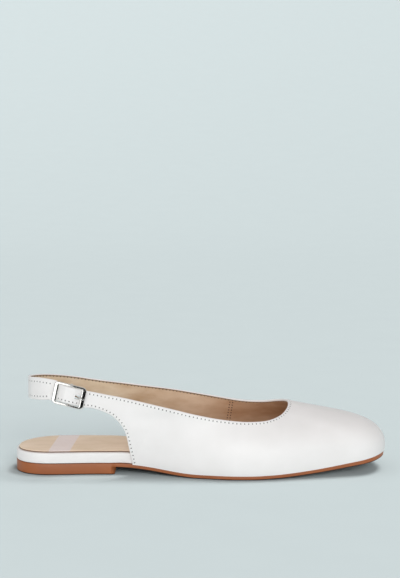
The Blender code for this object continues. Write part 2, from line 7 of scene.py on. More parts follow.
import json
import math

import bmesh
import bpy
import numpy as np
from mathutils import Matrix, Vector
from mathutils.bvhtree import BVHTree

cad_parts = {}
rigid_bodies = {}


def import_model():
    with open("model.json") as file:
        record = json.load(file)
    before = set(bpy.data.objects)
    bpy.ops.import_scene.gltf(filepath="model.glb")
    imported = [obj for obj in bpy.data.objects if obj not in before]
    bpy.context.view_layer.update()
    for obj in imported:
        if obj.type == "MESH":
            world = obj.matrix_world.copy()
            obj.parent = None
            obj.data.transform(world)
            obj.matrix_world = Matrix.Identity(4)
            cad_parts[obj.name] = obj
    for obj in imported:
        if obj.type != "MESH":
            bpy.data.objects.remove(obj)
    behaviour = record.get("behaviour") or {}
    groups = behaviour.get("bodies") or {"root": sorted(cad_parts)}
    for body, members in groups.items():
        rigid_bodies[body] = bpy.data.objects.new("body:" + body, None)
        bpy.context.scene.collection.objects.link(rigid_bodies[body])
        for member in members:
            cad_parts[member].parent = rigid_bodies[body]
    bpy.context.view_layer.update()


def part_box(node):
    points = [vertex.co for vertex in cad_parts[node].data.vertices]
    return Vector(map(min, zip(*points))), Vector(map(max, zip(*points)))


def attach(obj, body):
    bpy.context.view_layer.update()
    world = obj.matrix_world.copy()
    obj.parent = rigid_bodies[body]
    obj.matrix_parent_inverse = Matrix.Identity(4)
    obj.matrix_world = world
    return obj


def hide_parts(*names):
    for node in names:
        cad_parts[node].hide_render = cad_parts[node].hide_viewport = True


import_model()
MM = 0.001

# Unit sole
# Sole and low heel in one injection moulding of thermoplastic rubber, tan brown and satin, with a crisp edge.
# The upper and the insole board are cemented on top of it. Its outline and its curve are the last's.
LENGTH = 252 * MM
BALL_WIDTH = 79 * MM
HEEL_ROUND = 27 * MM
HEEL_SQUARE = 2.25
TOE_ROUND = 20 * MM
TOE_SQUARE = 2.2
SOLE_THICKNESS = 2.8 * MM
HEEL_LIFT = 4.8 * MM
HEEL_LENGTH = 69 * MM
BREAST_SLANT = 0.9 * MM
SHANK_END = 126 * MM
BALL_FLAT_END = 160 * MM
TOE_SPRING = 9.6 * MM
TOE_SPRING_CURVE = 1.7
TOE_THICKENING = 0.8 * MM
TOE_THICKENING_CURVE = 3
SOLE_EDGE_ROUND = 0.7 * MM
SOLE_TOP_ROUND = 0.2 * MM
HEEL_CORNER = 2.4 * MM
SOLE_COLOURS = "AE6536", "924F2A"
CONTACT_SHADE_COLOURS = "40281C", "281812"
LATERAL, MEDIAL = -1, 1
GRID_MERGE = 0.02 * MM
CROWN_FADE = 20 * MM
OUTLINE_STEPS = 1600
SOLE_PLACES, FOOTBED_PLACES, SOCK_PLACES, SOCK_ACROSS = 260, 240, 200, 23

# Share of the length, then shares of the ball's width out to the lateral and to the medial side
OUTLINE_ROWS = (
    (0.00, 0.345, 0.255),
    (0.12, 0.328, 0.332),
    (0.24, 0.308, 0.329),
    (0.36, 0.342, 0.300),
    (0.48, 0.447, 0.356),
    (0.60, 0.512, 0.450),
    (0.70, 0.487, 0.482),
    (0.80, 0.415, 0.440),
    (0.90, 0.335, 0.368),
    (1.00, 0.285, 0.318),
)


def smooth(knots, rows, at):
    """Values of a smooth curve through rows, each row at its knot, read at the places in at."""
    knots = np.asarray(knots, float)
    rows = np.asarray(rows, float).reshape(len(knots), -1)
    step = np.diff(knots)[:, None]
    chord = np.diff(rows, axis=0) / step
    slope = np.empty_like(rows)
    slope[1:-1] = (chord[:-1] * step[1:] + chord[1:] * step[:-1]) / (step[1:] + step[:-1])
    slope[0] = 1.5 * chord[0] - 0.5 * slope[1]
    slope[-1] = 1.5 * chord[-1] - 0.5 * slope[-2]
    at = np.atleast_1d(np.asarray(at, float))
    cell = np.clip(np.searchsorted(knots, at, side="right") - 1, 0, len(knots) - 2)
    width = step[cell]
    t = ((at - knots[cell])[:, None]) / width
    near, far = rows[cell], rows[cell + 1]
    out = (2 * t**3 - 3 * t**2 + 1) * near + (t**3 - 2 * t**2 + t) * width * slope[cell]
    return out + (3 * t**2 - 2 * t**3) * far + (t**3 - t**2) * width * slope[cell + 1]


def ease(x, start, end):
    """0 before start, 1 after end, and a smooth step between them."""
    t = np.clip((np.asarray(x, float) - start) / (end - start), 0, 1)
    return t * t * (3 - 2 * t)


def path_length(points):
    """How far along a path each of its points is."""
    return np.concatenate([[0], np.cumsum(np.linalg.norm(np.diff(points, axis=0), axis=1))])


def read_along(at, knots, points):
    """Places at distances along a path of points."""
    return np.stack([np.interp(at, knots, column) for column in points.T], -1)


def unit(vectors):
    return vectors / np.linalg.norm(vectors, axis=-1, keepdims=True)


def outline_side(side):
    """One side of the sole's outline from heel to toe: points, outward normals and shares of its length."""
    along = LENGTH * (1 - np.cos(np.linspace(0, math.pi, OUTLINE_STEPS))) / 2
    rows = np.array(OUTLINE_ROWS)
    lateral, medial = smooth(rows[:, 0], rows[:, 1:] * BALL_WIDTH, along / LENGTH).T
    half = (medial + lateral) / 2
    for reach, square in ((along / HEEL_ROUND, HEEL_SQUARE), ((LENGTH - along) / TOE_ROUND, TOE_SQUARE)):
        half = half * np.clip(1 - (1 - np.clip(reach, 0, 1)) ** square, 0, 1) ** (1 / square)
    points = np.stack([along, (medial - lateral) / 2 + side * half], 1)
    step = np.gradient(points, axis=0)
    normals = np.stack([-step[:, 1], step[:, 0]], 1) * side
    normals[0], normals[-1] = (-1, 0), (1, 0)
    length = path_length(points)
    return points, unit(normals), length / length[-1]


OUTLINE = {side: outline_side(side) for side in (LATERAL, MEDIAL)}
sole_low, sole_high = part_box("unit_sole")
SHIFT = np.array([sole_low.x, sole_high.y - OUTLINE[MEDIAL][0][:, 1].max(), 0])


def sole_edge(side, share, out=0.0):
    """Points of the outline at shares of the way from heel to toe tip, moved out by out, and the normals."""
    points, normals, shares = OUTLINE[side]
    normal = unit(read_along(share, shares, normals))
    return read_along(share, shares, points) + np.asarray(out)[..., None] * normal, normal


def share_at(side, x):
    """The share of the outline that lies at a place from heel to toe."""
    points, _, shares = OUTLINE[side]
    return np.interp(x, points[:, 0], shares)


def toe_share(x):
    """0 up to the end of the ball's flat, and 1 at the toe's tip."""
    return np.clip((x - BALL_FLAT_END) / (LENGTH - BALL_FLAT_END), 0, 1)


def sole_underside(x):
    """Height of the sole's underside, without the heel block."""
    return HEEL_LIFT * (1 - ease(x, HEEL_LENGTH, SHANK_END)) + TOE_SPRING * toe_share(x) ** TOE_SPRING_CURVE


def sole_top(x):
    return sole_underside(x) + SOLE_THICKNESS + TOE_THICKENING * toe_share(x) ** TOE_THICKENING_CURVE


def new_object(name, mesh, material):
    mesh.materials.append(material)
    mesh.shade_smooth()
    obj = bpy.data.objects.new(name, mesh)
    bpy.context.scene.collection.objects.link(obj)
    return obj


def close_mesh(name, bm, material, merge, speck):
    """Merges the points of a built mesh that are nearer than merge, clears specks, and makes it an object."""
    bmesh.ops.remove_doubles(bm, verts=bm.verts, dist=merge)
    bmesh.ops.dissolve_degenerate(bm, edges=bm.edges, dist=speck)
    bmesh.ops.recalc_face_normals(bm, faces=bm.faces)
    mesh = bpy.data.meshes.new(name)
    bm.to_mesh(mesh)
    bm.free()
    return new_object(name, mesh, material)


def grid_mesh(name, grids, material):
    """One object from grids of points. Each is (points, closed across); doubled points at its ends merge."""
    bm = bmesh.new()
    for points, closed in grids:
        rows, columns = points.shape[:2]
        verts = [bm.verts.new(p) for p in (points + SHIFT).reshape(-1, 3)]
        for i in range(rows - 1):
            for j in range(columns if closed else columns - 1):
                k = (j + 1) % columns
                bm.faces.new([verts[i * columns + j], verts[i * columns + k],
                              verts[(i + 1) * columns + k], verts[(i + 1) * columns + j]])
    return close_mesh(name, bm, material, GRID_MERGE, GRID_MERGE / 4)


def plate(places, levels, across=9, crown=0.0):
    """Rings across a plate on the sole. Levels are (inset, height) up the side, as functions of x. Between
    its two edges the top has across points and rises by crown in the middle, and the underside is flat."""
    sides = {}
    for side in (LATERAL, MEDIAL):
        share = share_at(side, places)
        rows = []
        for inset, height in levels:
            place, _ = sole_edge(side, share, -inset(places) * np.ones_like(places))
            rows.append(np.concatenate([place, height(places)[:, None]], 1))
        sides[side] = np.stack(rows, 1)
    width = np.linspace(0, 1, across + 2)[1:-1]
    rings = [sides[LATERAL]]
    for k, lift in ((-1, crown), (0, 0.0)):
        near, far = (sides[LATERAL], sides[MEDIAL]) if k else (sides[MEDIAL], sides[LATERAL])
        between = near[:, k, None] + (far[:, k] - near[:, k])[:, None] * width[None, :, None]
        narrow = np.clip(np.linalg.norm(far[:, k] - near[:, k], axis=1) / CROWN_FADE, 0, 1)[:, None]
        between[:, :, 2] += lift * narrow * (1 - (2 * width - 1) ** 4)[None, :]
        rings.append(between)
        if k:
            rings.append(sides[MEDIAL][:, ::-1])
    return np.concatenate(rings, 1)


def places_along(count, extra=()):
    """Places from heel to toe, closer together towards both ends, with the extra ones among them."""
    turn = np.linspace(0, math.pi, count)
    return np.unique(np.concatenate([LENGTH * (1 - np.cos(turn)) / 2, extra]))


def colour(code):
    """Linear colour of an sRGB hex value."""
    parts = [int(code[k:k + 2], 16) / 255 for k in (0, 2, 4)]
    return (*[p / 12.92 if p <= 0.04045 else ((p + 0.055) / 1.055) ** 2.4 for p in parts], 1.0)


def add(tree, kind, inputs=None, **settings):
    """Adds a node with its settings. Each input is a value or the socket that it is linked from."""
    node = tree.nodes.new(kind)
    for name, value in settings.items():
        setattr(node, name, value)
    for name, value in (inputs or {}).items():
        if isinstance(value, bpy.types.NodeSocket):
            tree.links.new(value, node.inputs[name])
        else:
            node.inputs[name].default_value = value
    return node


def dress(tree, **sockets):
    """Sets the shader's inputs, each to a value or to the socket that it is linked from."""
    shader = tree.nodes["Principled BSDF"]
    for name, value in sockets.items():
        socket = shader.inputs[name.replace("_", " ")]
        if isinstance(value, bpy.types.NodeSocket):
            tree.links.new(value, socket)
        else:
            socket.default_value = value


def new_material(name, **sockets):
    """A material with some shader inputs set, its node tree, and the socket of its object coordinates."""
    material = bpy.data.materials.new(name)
    material.use_nodes = True
    tree = material.node_tree
    dress(tree, **sockets)
    return material, tree, add(tree, "ShaderNodeTexCoord").outputs["Object"]


def tones(pair):
    """A light and a dark sRGB hex value, as the two ends of a mix."""
    return dict(zip("AB", map(colour, pair)))


# Thermoplastic rubber, moulded: a satin skin, a little cloudy in colour, with the mould's fine spark-eroded
# grain. That grain is 0.3 mm in the mould and drawn at 1 mm here.
tpr, tree, where = new_material("moulded thermoplastic rubber", IOR=1.5)
clouds = add(tree, "ShaderNodeTexNoise", {"Vector": where, "Scale": 1 / (22 * MM), "Detail": 3.0})
tint = add(tree, "ShaderNodeMix", {"Factor": clouds.outputs["Fac"], **tones(SOLE_COLOURS)}, data_type="RGBA")
sparks = add(tree, "ShaderNodeTexNoise", {"Vector": where, "Scale": 1 / (1.0 * MM), "Detail": 2.0})
sheen = add(tree, "ShaderNodeMapRange", {"Value": sparks.outputs["Fac"], "To Min": 0.36, "To Max": 0.5})
pits = add(tree, "ShaderNodeBump", {"Height": sparks.outputs["Fac"], "Strength": 0.25, "Distance": 0.05 * MM})
dress(tree, Base_Color=tint.outputs["Result"], Roughness=sheen.outputs["Result"],
      Normal=pits.outputs["Normal"])

# The ground side, with its rounded edge, is painted dark as the contact shade along the floor, in blotches of
# 6 mm
contact_shaded, tree, where = new_material("soiled rubber", IOR=1.5, Roughness=0.75)
shade_blotches = add(tree, "ShaderNodeTexNoise", {"Vector": where, "Scale": 1 / (6 * MM), "Detail": 3.0})
tint = add(tree, "ShaderNodeMix", {"Factor": shade_blotches.outputs["Fac"], **tones(CONTACT_SHADE_COLOURS)}, data_type="RGBA")
dress(tree, Base_Color=tint.outputs["Result"])


def paint_faces(piece, material, chosen):
    """Gives one more material to the faces that chosen(normal, centre on the shoe) picks."""
    piece.data.materials.append(material)
    for face in piece.data.polygons:
        if chosen(face.normal, np.array(face.center) - SHIFT):
            face.material_index = len(piece.data.materials) - 1


BREAST_FOOT = HEEL_LENGTH - BREAST_SLANT


def sole_bottom(x):
    """The floor under the heel, its slanted breast, and then the underside of the shank."""
    return sole_underside(x) * np.clip((x - BREAST_FOOT) / BREAST_SLANT, 0, 1)


def heel_corner(x):
    """How far the heel block's side turns in round the upright corner at its breast."""
    turn = np.clip((x - BREAST_FOOT) / HEEL_CORNER + 1, 0, 1)
    return np.where(x < HEEL_LENGTH, HEEL_CORNER * (1 - np.sqrt(1 - turn**2)), 0.0)


def heel_block_top(x):
    return np.maximum(sole_bottom(x) + SOLE_EDGE_ROUND, sole_underside(x))


def quarter_round(radius, height, up, inset=lambda x: 0.0, turns=(0, 0.25, 0.5, 0.75, 1)):
    """Levels of a rounded edge, from the flat side (turn 0) to the flat face (turn 1), below height if up."""
    levels = []
    for turn in turns:
        angle = turn * math.pi / 2
        into, back = radius * (1 - math.cos(angle)), radius * (1 - math.sin(angle))
        levels.append((
            lambda x, into=into: inset(x) + into,
            lambda x, back=back: height(x) + (-back if up else back),
        ))
    return levels


levels = quarter_round(SOLE_EDGE_ROUND, sole_bottom, False, heel_corner)[::-1]
levels += [(heel_corner, heel_block_top), (lambda x: 0.0, heel_block_top)]
levels += quarter_round(SOLE_TOP_ROUND, sole_top, True)
corner = BREAST_FOOT - HEEL_CORNER * (1 - np.sin(np.linspace(0, math.pi / 2, 8)))
breast = (*corner, BREAST_FOOT + 0.98 * BREAST_SLANT, HEEL_LENGTH)
unit_sole = grid_mesh("moulded_sole", [(plate(places_along(SOLE_PLACES, breast), levels), True)], tpr)
# Painted contact shade on the ground side, the breast and the rounded bottom edge
paint_faces(unit_sole, contact_shaded, lambda normal, centre: normal.z < -0.15)
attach(unit_sole, "root")
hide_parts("unit_sole")

# Footbed
# A thick insole board and its foam, wrapped in the upper's own white leather, which is turned in underneath.
# Its side shows as a white band from the heel to the quarters, and it ends inside the upper.
FIT_GAP = 0.3 * MM
FOOTBED_HEEL = 7.0 * MM
FOOTBED_BALL = 4.2 * MM
FOOTBED_STEP_START = 78 * MM
FOOTBED_STEP_END = 150 * MM
FOOTBED_ROUND = 0.9 * MM
FOOTBED_INSET = 0.2 * MM
FOOTBED_TUCK_START = 14 * MM
FOOTBED_TUCK_END = 2 * MM
UPPER_WALL = 1.6 * MM
UPPER_OVERHANG = 0.8 * MM
QUARTER_BACK = 0.3090 * LENGTH
WHITE_COLOURS = "F1EDEC", "E9E5E3"

# Smooth calf with a white pigment finish: an even, soft sheen from a thin top coat over a fine hair grain.
# The pores are 0.2 mm apart on calf and drawn at 0.9 mm; the skin's own slow unevenness is 14 mm.
calf, tree, where = new_material("white pigmented calf", IOR=1.47, Coat_Weight=0.12, Coat_Roughness=0.4)
slow = add(tree, "ShaderNodeTexNoise", {"Vector": where, "Scale": 1 / (14 * MM), "Detail": 2.0})
tint = add(tree, "ShaderNodeMix", {"Factor": slow.outputs["Fac"], **tones(WHITE_COLOURS)}, data_type="RGBA")
pores = add(tree, "ShaderNodeTexVoronoi", {"Vector": where, "Scale": 1 / (0.9 * MM), "Randomness": 1.0})
grain = add(tree, "ShaderNodeTexNoise", {"Vector": where, "Scale": 1 / (2.5 * MM), "Detail": 4.0})
gloss = add(tree, "ShaderNodeMapRange", {"Value": grain.outputs["Fac"], "To Min": 0.36, "To Max": 0.5})
relief = add(tree, "ShaderNodeMath", {0: pores.outputs["Distance"], 1: grain.outputs["Fac"]}, operation="ADD")
skin = add(tree, "ShaderNodeBump", {"Height": relief.outputs["Value"], "Strength": 0.22,
                                    "Distance": 0.06 * MM})
dress(tree, Base_Color=tint.outputs["Result"], Roughness=gloss.outputs["Result"],
      Normal=skin.outputs["Normal"])


def footbed_top(x):
    thickness = FOOTBED_HEEL + (FOOTBED_BALL - FOOTBED_HEEL) * ease(x, FOOTBED_STEP_START, FOOTBED_STEP_END)
    return sole_top(x) + FIT_GAP + thickness


def footbed_foot(x):
    return sole_top(x) + FIT_GAP


def footbed_inset(x):
    """Flush with the sole at the heel, then stepped in to fit inside the upper."""
    inside = UPPER_WALL - UPPER_OVERHANG + 2 * FIT_GAP
    tuck = ease(x, QUARTER_BACK - FOOTBED_TUCK_START, QUARTER_BACK - FOOTBED_TUCK_END)
    return FOOTBED_INSET + (inside - FOOTBED_INSET) * tuck


levels = quarter_round(FOOTBED_ROUND / 2, footbed_foot, False, footbed_inset)[::-1]
levels += quarter_round(FOOTBED_ROUND, footbed_top, True, footbed_inset)
footbed = grid_mesh("wrapped_footbed", [(plate(places_along(FOOTBED_PLACES), levels), True)], calf)
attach(footbed, "root")
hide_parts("footbed")

# Sock
# A sock of tan lining leather over thin foam, glued on the footbed just inside its edge. Its cut edge is
# dark, partly with dye and partly as painted shade of the gap under it, and a plain pale band of foil is
# pressed on across the heel.
SOCK_THICKNESS = 1.0 * MM
SOCK_INSET = 1.6 * MM
SOCK_ROUND = 0.55 * MM
SOCK_CROWN = 0.5 * MM
TAN_COLOURS = "F5DDC5", "EAD1B5"
SOCK_EDGE_SHADE_COLOURS = "86695A", "745848"
BAND_START = 25.3 * MM
BAND_END = 39.6 * MM
BAND_SLANT = 0.055
BAND_BLUR = 0.25 * MM
BAND_COLOURS = "F6E8E4", "EFDED8"


def tan_leather(name, colours, patch):
    """Lining leather: matt, dry, blotchy, a bit rumpled. Its creased grain of 0.4 mm is drawn at 1.2 mm."""
    material, tree, where = new_material(name, IOR=1.46)
    drawn = add(tree, "ShaderNodeMapping", {"Vector": where, "Scale": (0.5, 1.0, 1.3)}).outputs["Vector"]
    blotch = add(tree, "ShaderNodeTexNoise", {"Vector": drawn, "Scale": 1 / patch, "Detail": 5.0})
    spread = add(tree, "ShaderNodeMapRange", {"Value": blotch.outputs["Fac"], "From Min": 0.32,
                                              "From Max": 0.68})
    tint = add(tree, "ShaderNodeMix", {"Factor": spread.outputs["Result"], **tones(colours)},
               data_type="RGBA")
    grain = add(tree, "ShaderNodeTexNoise", {"Vector": where, "Scale": 1 / (1.2 * MM), "Detail": 3.0})
    dry = add(tree, "ShaderNodeMapRange", {"Value": grain.outputs["Fac"], "To Min": 0.55, "To Max": 0.75})
    rumple = add(tree, "ShaderNodeTexNoise", {"Vector": drawn, "Scale": 1 / (7 * MM), "Detail": 2.0})
    soft = add(tree, "ShaderNodeBump", {"Height": rumple.outputs["Fac"], "Strength": 0.4,
                                        "Distance": 0.9 * MM})
    creased = add(tree, "ShaderNodeBump", {"Height": grain.outputs["Fac"], "Strength": 0.35,
                                           "Distance": 0.1 * MM, "Normal": soft.outputs["Normal"]})
    dress(tree, Base_Color=tint.outputs["Result"], Roughness=dry.outputs["Result"],
          Normal=creased.outputs["Normal"])
    return material


def over_colour(tree, factor, above, **settings):
    """Mixes one more colour over the base colour that a material already has."""
    plain = tree.nodes["Principled BSDF"].inputs["Base Color"].links[0].from_socket
    laid = add(tree, "ShaderNodeMix", {"Factor": factor, "A": plain, "B": above}, data_type="RGBA",
               **settings)
    dress(tree, Base_Color=laid.outputs["Result"])


def sock_inset(x):
    return footbed_inset(x) + SOCK_INSET


def sock_foot(x):
    return footbed_top(x) + FIT_GAP


def sock_top(x):
    return sock_foot(x) + SOCK_THICKNESS


tan_sock = tan_leather("tan sock leather", TAN_COLOURS, 9 * MM)
sock_edge_shade = tan_leather("sock cut edge with dye and painted gap shade", SOCK_EDGE_SHADE_COLOURS, 5 * MM)
levels = [(sock_inset, sock_foot)] + quarter_round(SOCK_ROUND, sock_top, True, sock_inset)
rings = plate(places_along(SOCK_PLACES), levels, SOCK_ACROSS, SOCK_CROWN)
sock = grid_mesh("leather_sock", [(rings, True)], tan_sock)
# The upright side faces take the dark edge colour: partly the dye of the cut, partly painted shade of the gap
# under it
paint_faces(sock, sock_edge_shade, lambda normal, centre: abs(normal.z) < 0.3)
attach(sock, "root")
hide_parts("sock")

# The band's colour is laid over the sock's own: 1 between its two edges, which run straight across at a slant
tree = tan_sock.node_tree
where = add(tree, "ShaderNodeTexCoord").outputs["Object"]
split = add(tree, "ShaderNodeSeparateXYZ", {"Vector": where})
slanted = add(tree, "ShaderNodeMath", {0: split.outputs["Y"], 1: -BAND_SLANT, 2: split.outputs["X"]},
              operation="MULTIPLY_ADD").outputs["Value"]
edges = []
for place, side in ((BAND_START, 1), (BAND_END, -1)):
    middle = place + SHIFT[0] - BAND_SLANT * SHIFT[1]
    soft = add(tree, "ShaderNodeMapRange", {"Value": slanted, "From Min": middle - BAND_BLUR * side,
                                            "From Max": middle + BAND_BLUR * side})
    edges.append(soft.outputs["Result"])
band = add(tree, "ShaderNodeMath", {0: edges[0], 1: edges[1]}, operation="MULTIPLY").outputs["Value"]
foil = add(tree, "ShaderNodeTexNoise", {"Vector": where, "Scale": 1 / (3 * MM), "Detail": 3.0})
pale = add(tree, "ShaderNodeMix", {"Factor": foil.outputs["Fac"], **tones(BAND_COLOURS)}, data_type="RGBA")
over_colour(tree, band, pale.outputs["Result"])

# Upper
# White calf, cut as vamp, quarters and sling strap in one, lasted over the insole and cemented to the sole.
# Its top edge is folded over and stitched. A tan lining is glued inside and ends just below that fold.
STRAP_WALL = 1.35 * MM
TAIL_WALL = 1.15 * MM
WRAP_WALL = 0.9 * MM
LINING_THICKNESS = 0.45 * MM
TOPLINE_HEIGHT = 63 * MM
SHOULDER_SWELL = 2 * MM
FRAME_LENGTH = 22.4 * MM
FRAME_HEIGHT = 15.2 * MM
FRAME_END_WIDTH = 3.2 * MM
FRAME_RAIL_WIDTH = 1.5 * MM
FRAME_THICKNESS = 1.6 * MM
FRAME_RISE = 3.1 * MM
BAR_RADIUS = 0.8 * MM
BUCKLE_SLOPE = math.radians(12.5)
BUCKLE_TURN = math.radians(8.5)
HEEL_STRAP_WIDTH = 14.2 * MM
BUCKLE_FRONT = (0.195, -0.266, 0.815)
FRAME_END = FRAME_LENGTH / 2 - FRAME_END_WIDTH
TAIL_WIDTH = FRAME_HEIGHT - FRAME_RAIL_WIDTH - 2 * max(BAR_RADIUS, FRAME_RAIL_WIDTH / 2) - 2 * FIT_GAP
TAIL_LEAD = 0.8 * MM
TAIL_TUCK = 0.4 * MM
HEEL_STRAP_LEAD = 2.8 * MM
RETURN_TUCK = 0.5 * MM
TAIL_START = FRAME_LENGTH / 2 + TAIL_LEAD
TAIL_END = -FRAME_LENGTH / 2 + TAIL_TUCK
HEEL_STRAP_END = -FRAME_LENGTH / 2 - HEEL_STRAP_LEAD
RETURN_END = -FRAME_END + RETURN_TUCK
WRAP_OUTER = BAR_RADIUS + FIT_GAP + WRAP_WALL
HUMP_HALF = WRAP_OUTER + FIT_GAP
HOLE_START, HOLE_END = 0.5 * FRAME_END, 0.9 * FRAME_END
HOLE_HALF = 1.35 * MM
TAIL_HIGH = WRAP_OUTER + FIT_GAP + TAIL_WALL
TAIL_LOW = FRAME_RISE - FRAME_THICKNESS / 2 - FIT_GAP

# Topline from the buckle to the throat: shares of the length, the ball's width and the topline's height, then
# how far the rib below it leans to the box of the toe, and its share of the shoulder's swell
TOPLINE_ROWS = (
    (0.216, 0.300, 0.278, 0.893, 0.904, 0.02, 0.05),
    (0.246, 0.316, 0.290, 0.872, 0.886, 0.05, 0.15),
    (0.290, 0.337, 0.306, 0.844, 0.862, 0.10, 0.35),
    (0.329, 0.358, 0.322, 0.814, 0.838, 0.15, 0.60),
    (0.369, 0.380, 0.339, 0.781, 0.814, 0.22, 0.85),
    (0.409, 0.400, 0.354, 0.746, 0.788, 0.30, 1.10),
    (0.476, 0.427, 0.374, 0.688, 0.740, 0.42, 1.30),
    (0.556, 0.433, 0.385, 0.632, 0.686, 0.55, 1.40),
    (0.627, 0.409, 0.372, 0.603, 0.651, 0.70, 1.40),
    (0.679, 0.351, 0.329, 0.605, 0.657, 0.82, 1.30),
    (0.712, 0.253, 0.247, 0.633, 0.688, 0.92, 1.00),
    (0.733, 0.124, 0.136, 0.682, 0.713, 0.98, 0.70),
    (0.739, -0.010, 0.010, 0.717, 0.717, 1.00, 0.45),
)
# Feet of the first five ribs, on the back edge of the quarter, then of the rest, round the sole's edge
BACK_EDGE_ROWS = ((0.2085, 0.722), (0.2440, 0.681), (0.2770, 0.598), (0.2985, 0.478), (0.3090, 0.310))
SOLE_EDGE_SHARES = (0.3285, 0.424, 0.542, 0.642, 0.740, 0.832, 0.922, 1.000)
RIBS_PER_CELL = (10,) * 2 + (15,) * 4 + (15, 18, 20, 25, 30, 35, 35)
# Heel strap: shares of the length, the ball's width out, and the topline's height at its top and bottom
HEEL_STRAP_ROWS = (
    (0.163, 0.264, 0.938, 0.746),
    (0.111, 0.238, 0.966, 0.756),
    (0.068, 0.184, 0.985, 0.760),
    (0.041, 0.104, 0.995, 0.762),
    (0.031, 0.004, 1.003, 0.766),
    (0.041, -0.096, 1.013, 0.772),
    (0.066, -0.171, 1.022, 0.780),
)
STRAP_LEAN = 0.5 * MM
RIB_POINTS = 48
PLAIN_CURVE = ((0.25, 0.25), (0.50, 0.50), (0.75, 0.75))
BLUNT_CURVE = ((0.00, 0.26), (0.00, 0.73), (0.44, 0.72))
SWELL_SHARES = (1.0, 0.7, 0.15)
HEEL_STRAP_RIBS, FLAT_RIBS, WRAP_RIBS, RETURN_RIBS, TAIL_RIBS = 90, 34, 22, 5, 70
WALL_CHANGE_RIBS = 60
WALL_MERGE, WALL_SPECK = 0.005 * MM, 0.002 * MM
SHARP_ANGLE = math.radians(50)

along = Vector((math.cos(BUCKLE_SLOPE) * math.cos(BUCKLE_TURN),
                -math.cos(BUCKLE_SLOPE) * math.sin(BUCKLE_TURN), -math.sin(BUCKLE_SLOPE)))
out = Vector((-math.sin(BUCKLE_TURN), -math.cos(BUCKLE_TURN), 0))
BUCKLE = Matrix((along, out.cross(along), out)).transposed().to_4x4()
front = Vector(share * size for share, size in zip(BUCKLE_FRONT, (LENGTH, BALL_WIDTH, TOPLINE_HEIGHT)))
BUCKLE.translation = front - along * FRAME_LENGTH / 2


def in_buckle(points):
    """Points given along, across and out of the buckle, moved to their place on the shoe."""
    matrix = np.array(BUCKLE)
    return np.asarray(points) @ matrix[:3, :3].T + matrix[:3, 3]


def straight_ribs(tops, feet):
    """Ribs that run straight from top to foot."""
    t = np.linspace(0, 1, RIB_POINTS)[None, :, None]
    return tops[:, None] * (1 - t) + feet[:, None] * t


def strap_edges(x, out, half):
    """Both edges of a strap at the buckle, at places x along it and out from its bar."""
    x, out, half = np.broadcast_arrays(x, out, half)
    return in_buckle(np.stack([x, half, out], -1)), in_buckle(np.stack([x, -half, out], -1))


def strap_ribs(x, out, half):
    return straight_ribs(*strap_edges(x, out, half))


def bent_ribs(top, foot, outward, boxed, swell):
    """Ribs of the last from the topline to its foot, as curves of degree four, more boxed towards the toe."""
    boxed, swell = boxed[:, None], swell[:, None]
    reach = (top - foot) * (1, 1, 0)
    rise = (top - foot) * (0, 0, 1)
    controls = [foot]
    for (a, b), (c, d), push in zip(PLAIN_CURVE, BLUNT_CURVE, SWELL_SHARES):
        inward, up = a + (c - a) * boxed, b + (d - b) * boxed
        controls.append(foot + inward * reach + up * rise + push * swell * outward)
    controls.append(top)
    t = np.linspace(1, 0, RIB_POINTS)[None, :, None]
    return sum(math.comb(4, k) * t**k * (1 - t) ** (4 - k) * c[:, None] for k, c in enumerate(controls))


def hump(x):
    """0 under the frame's end bars and 1 over the bar in the middle, along the strap."""
    return ease(x, -FRAME_END, -HUMP_HALF) * (1 - ease(x, HUMP_HALF, FRAME_END + FIT_GAP))


def tail_out(x):
    return TAIL_LOW + (TAIL_HIGH - TAIL_LOW) * hump(x)


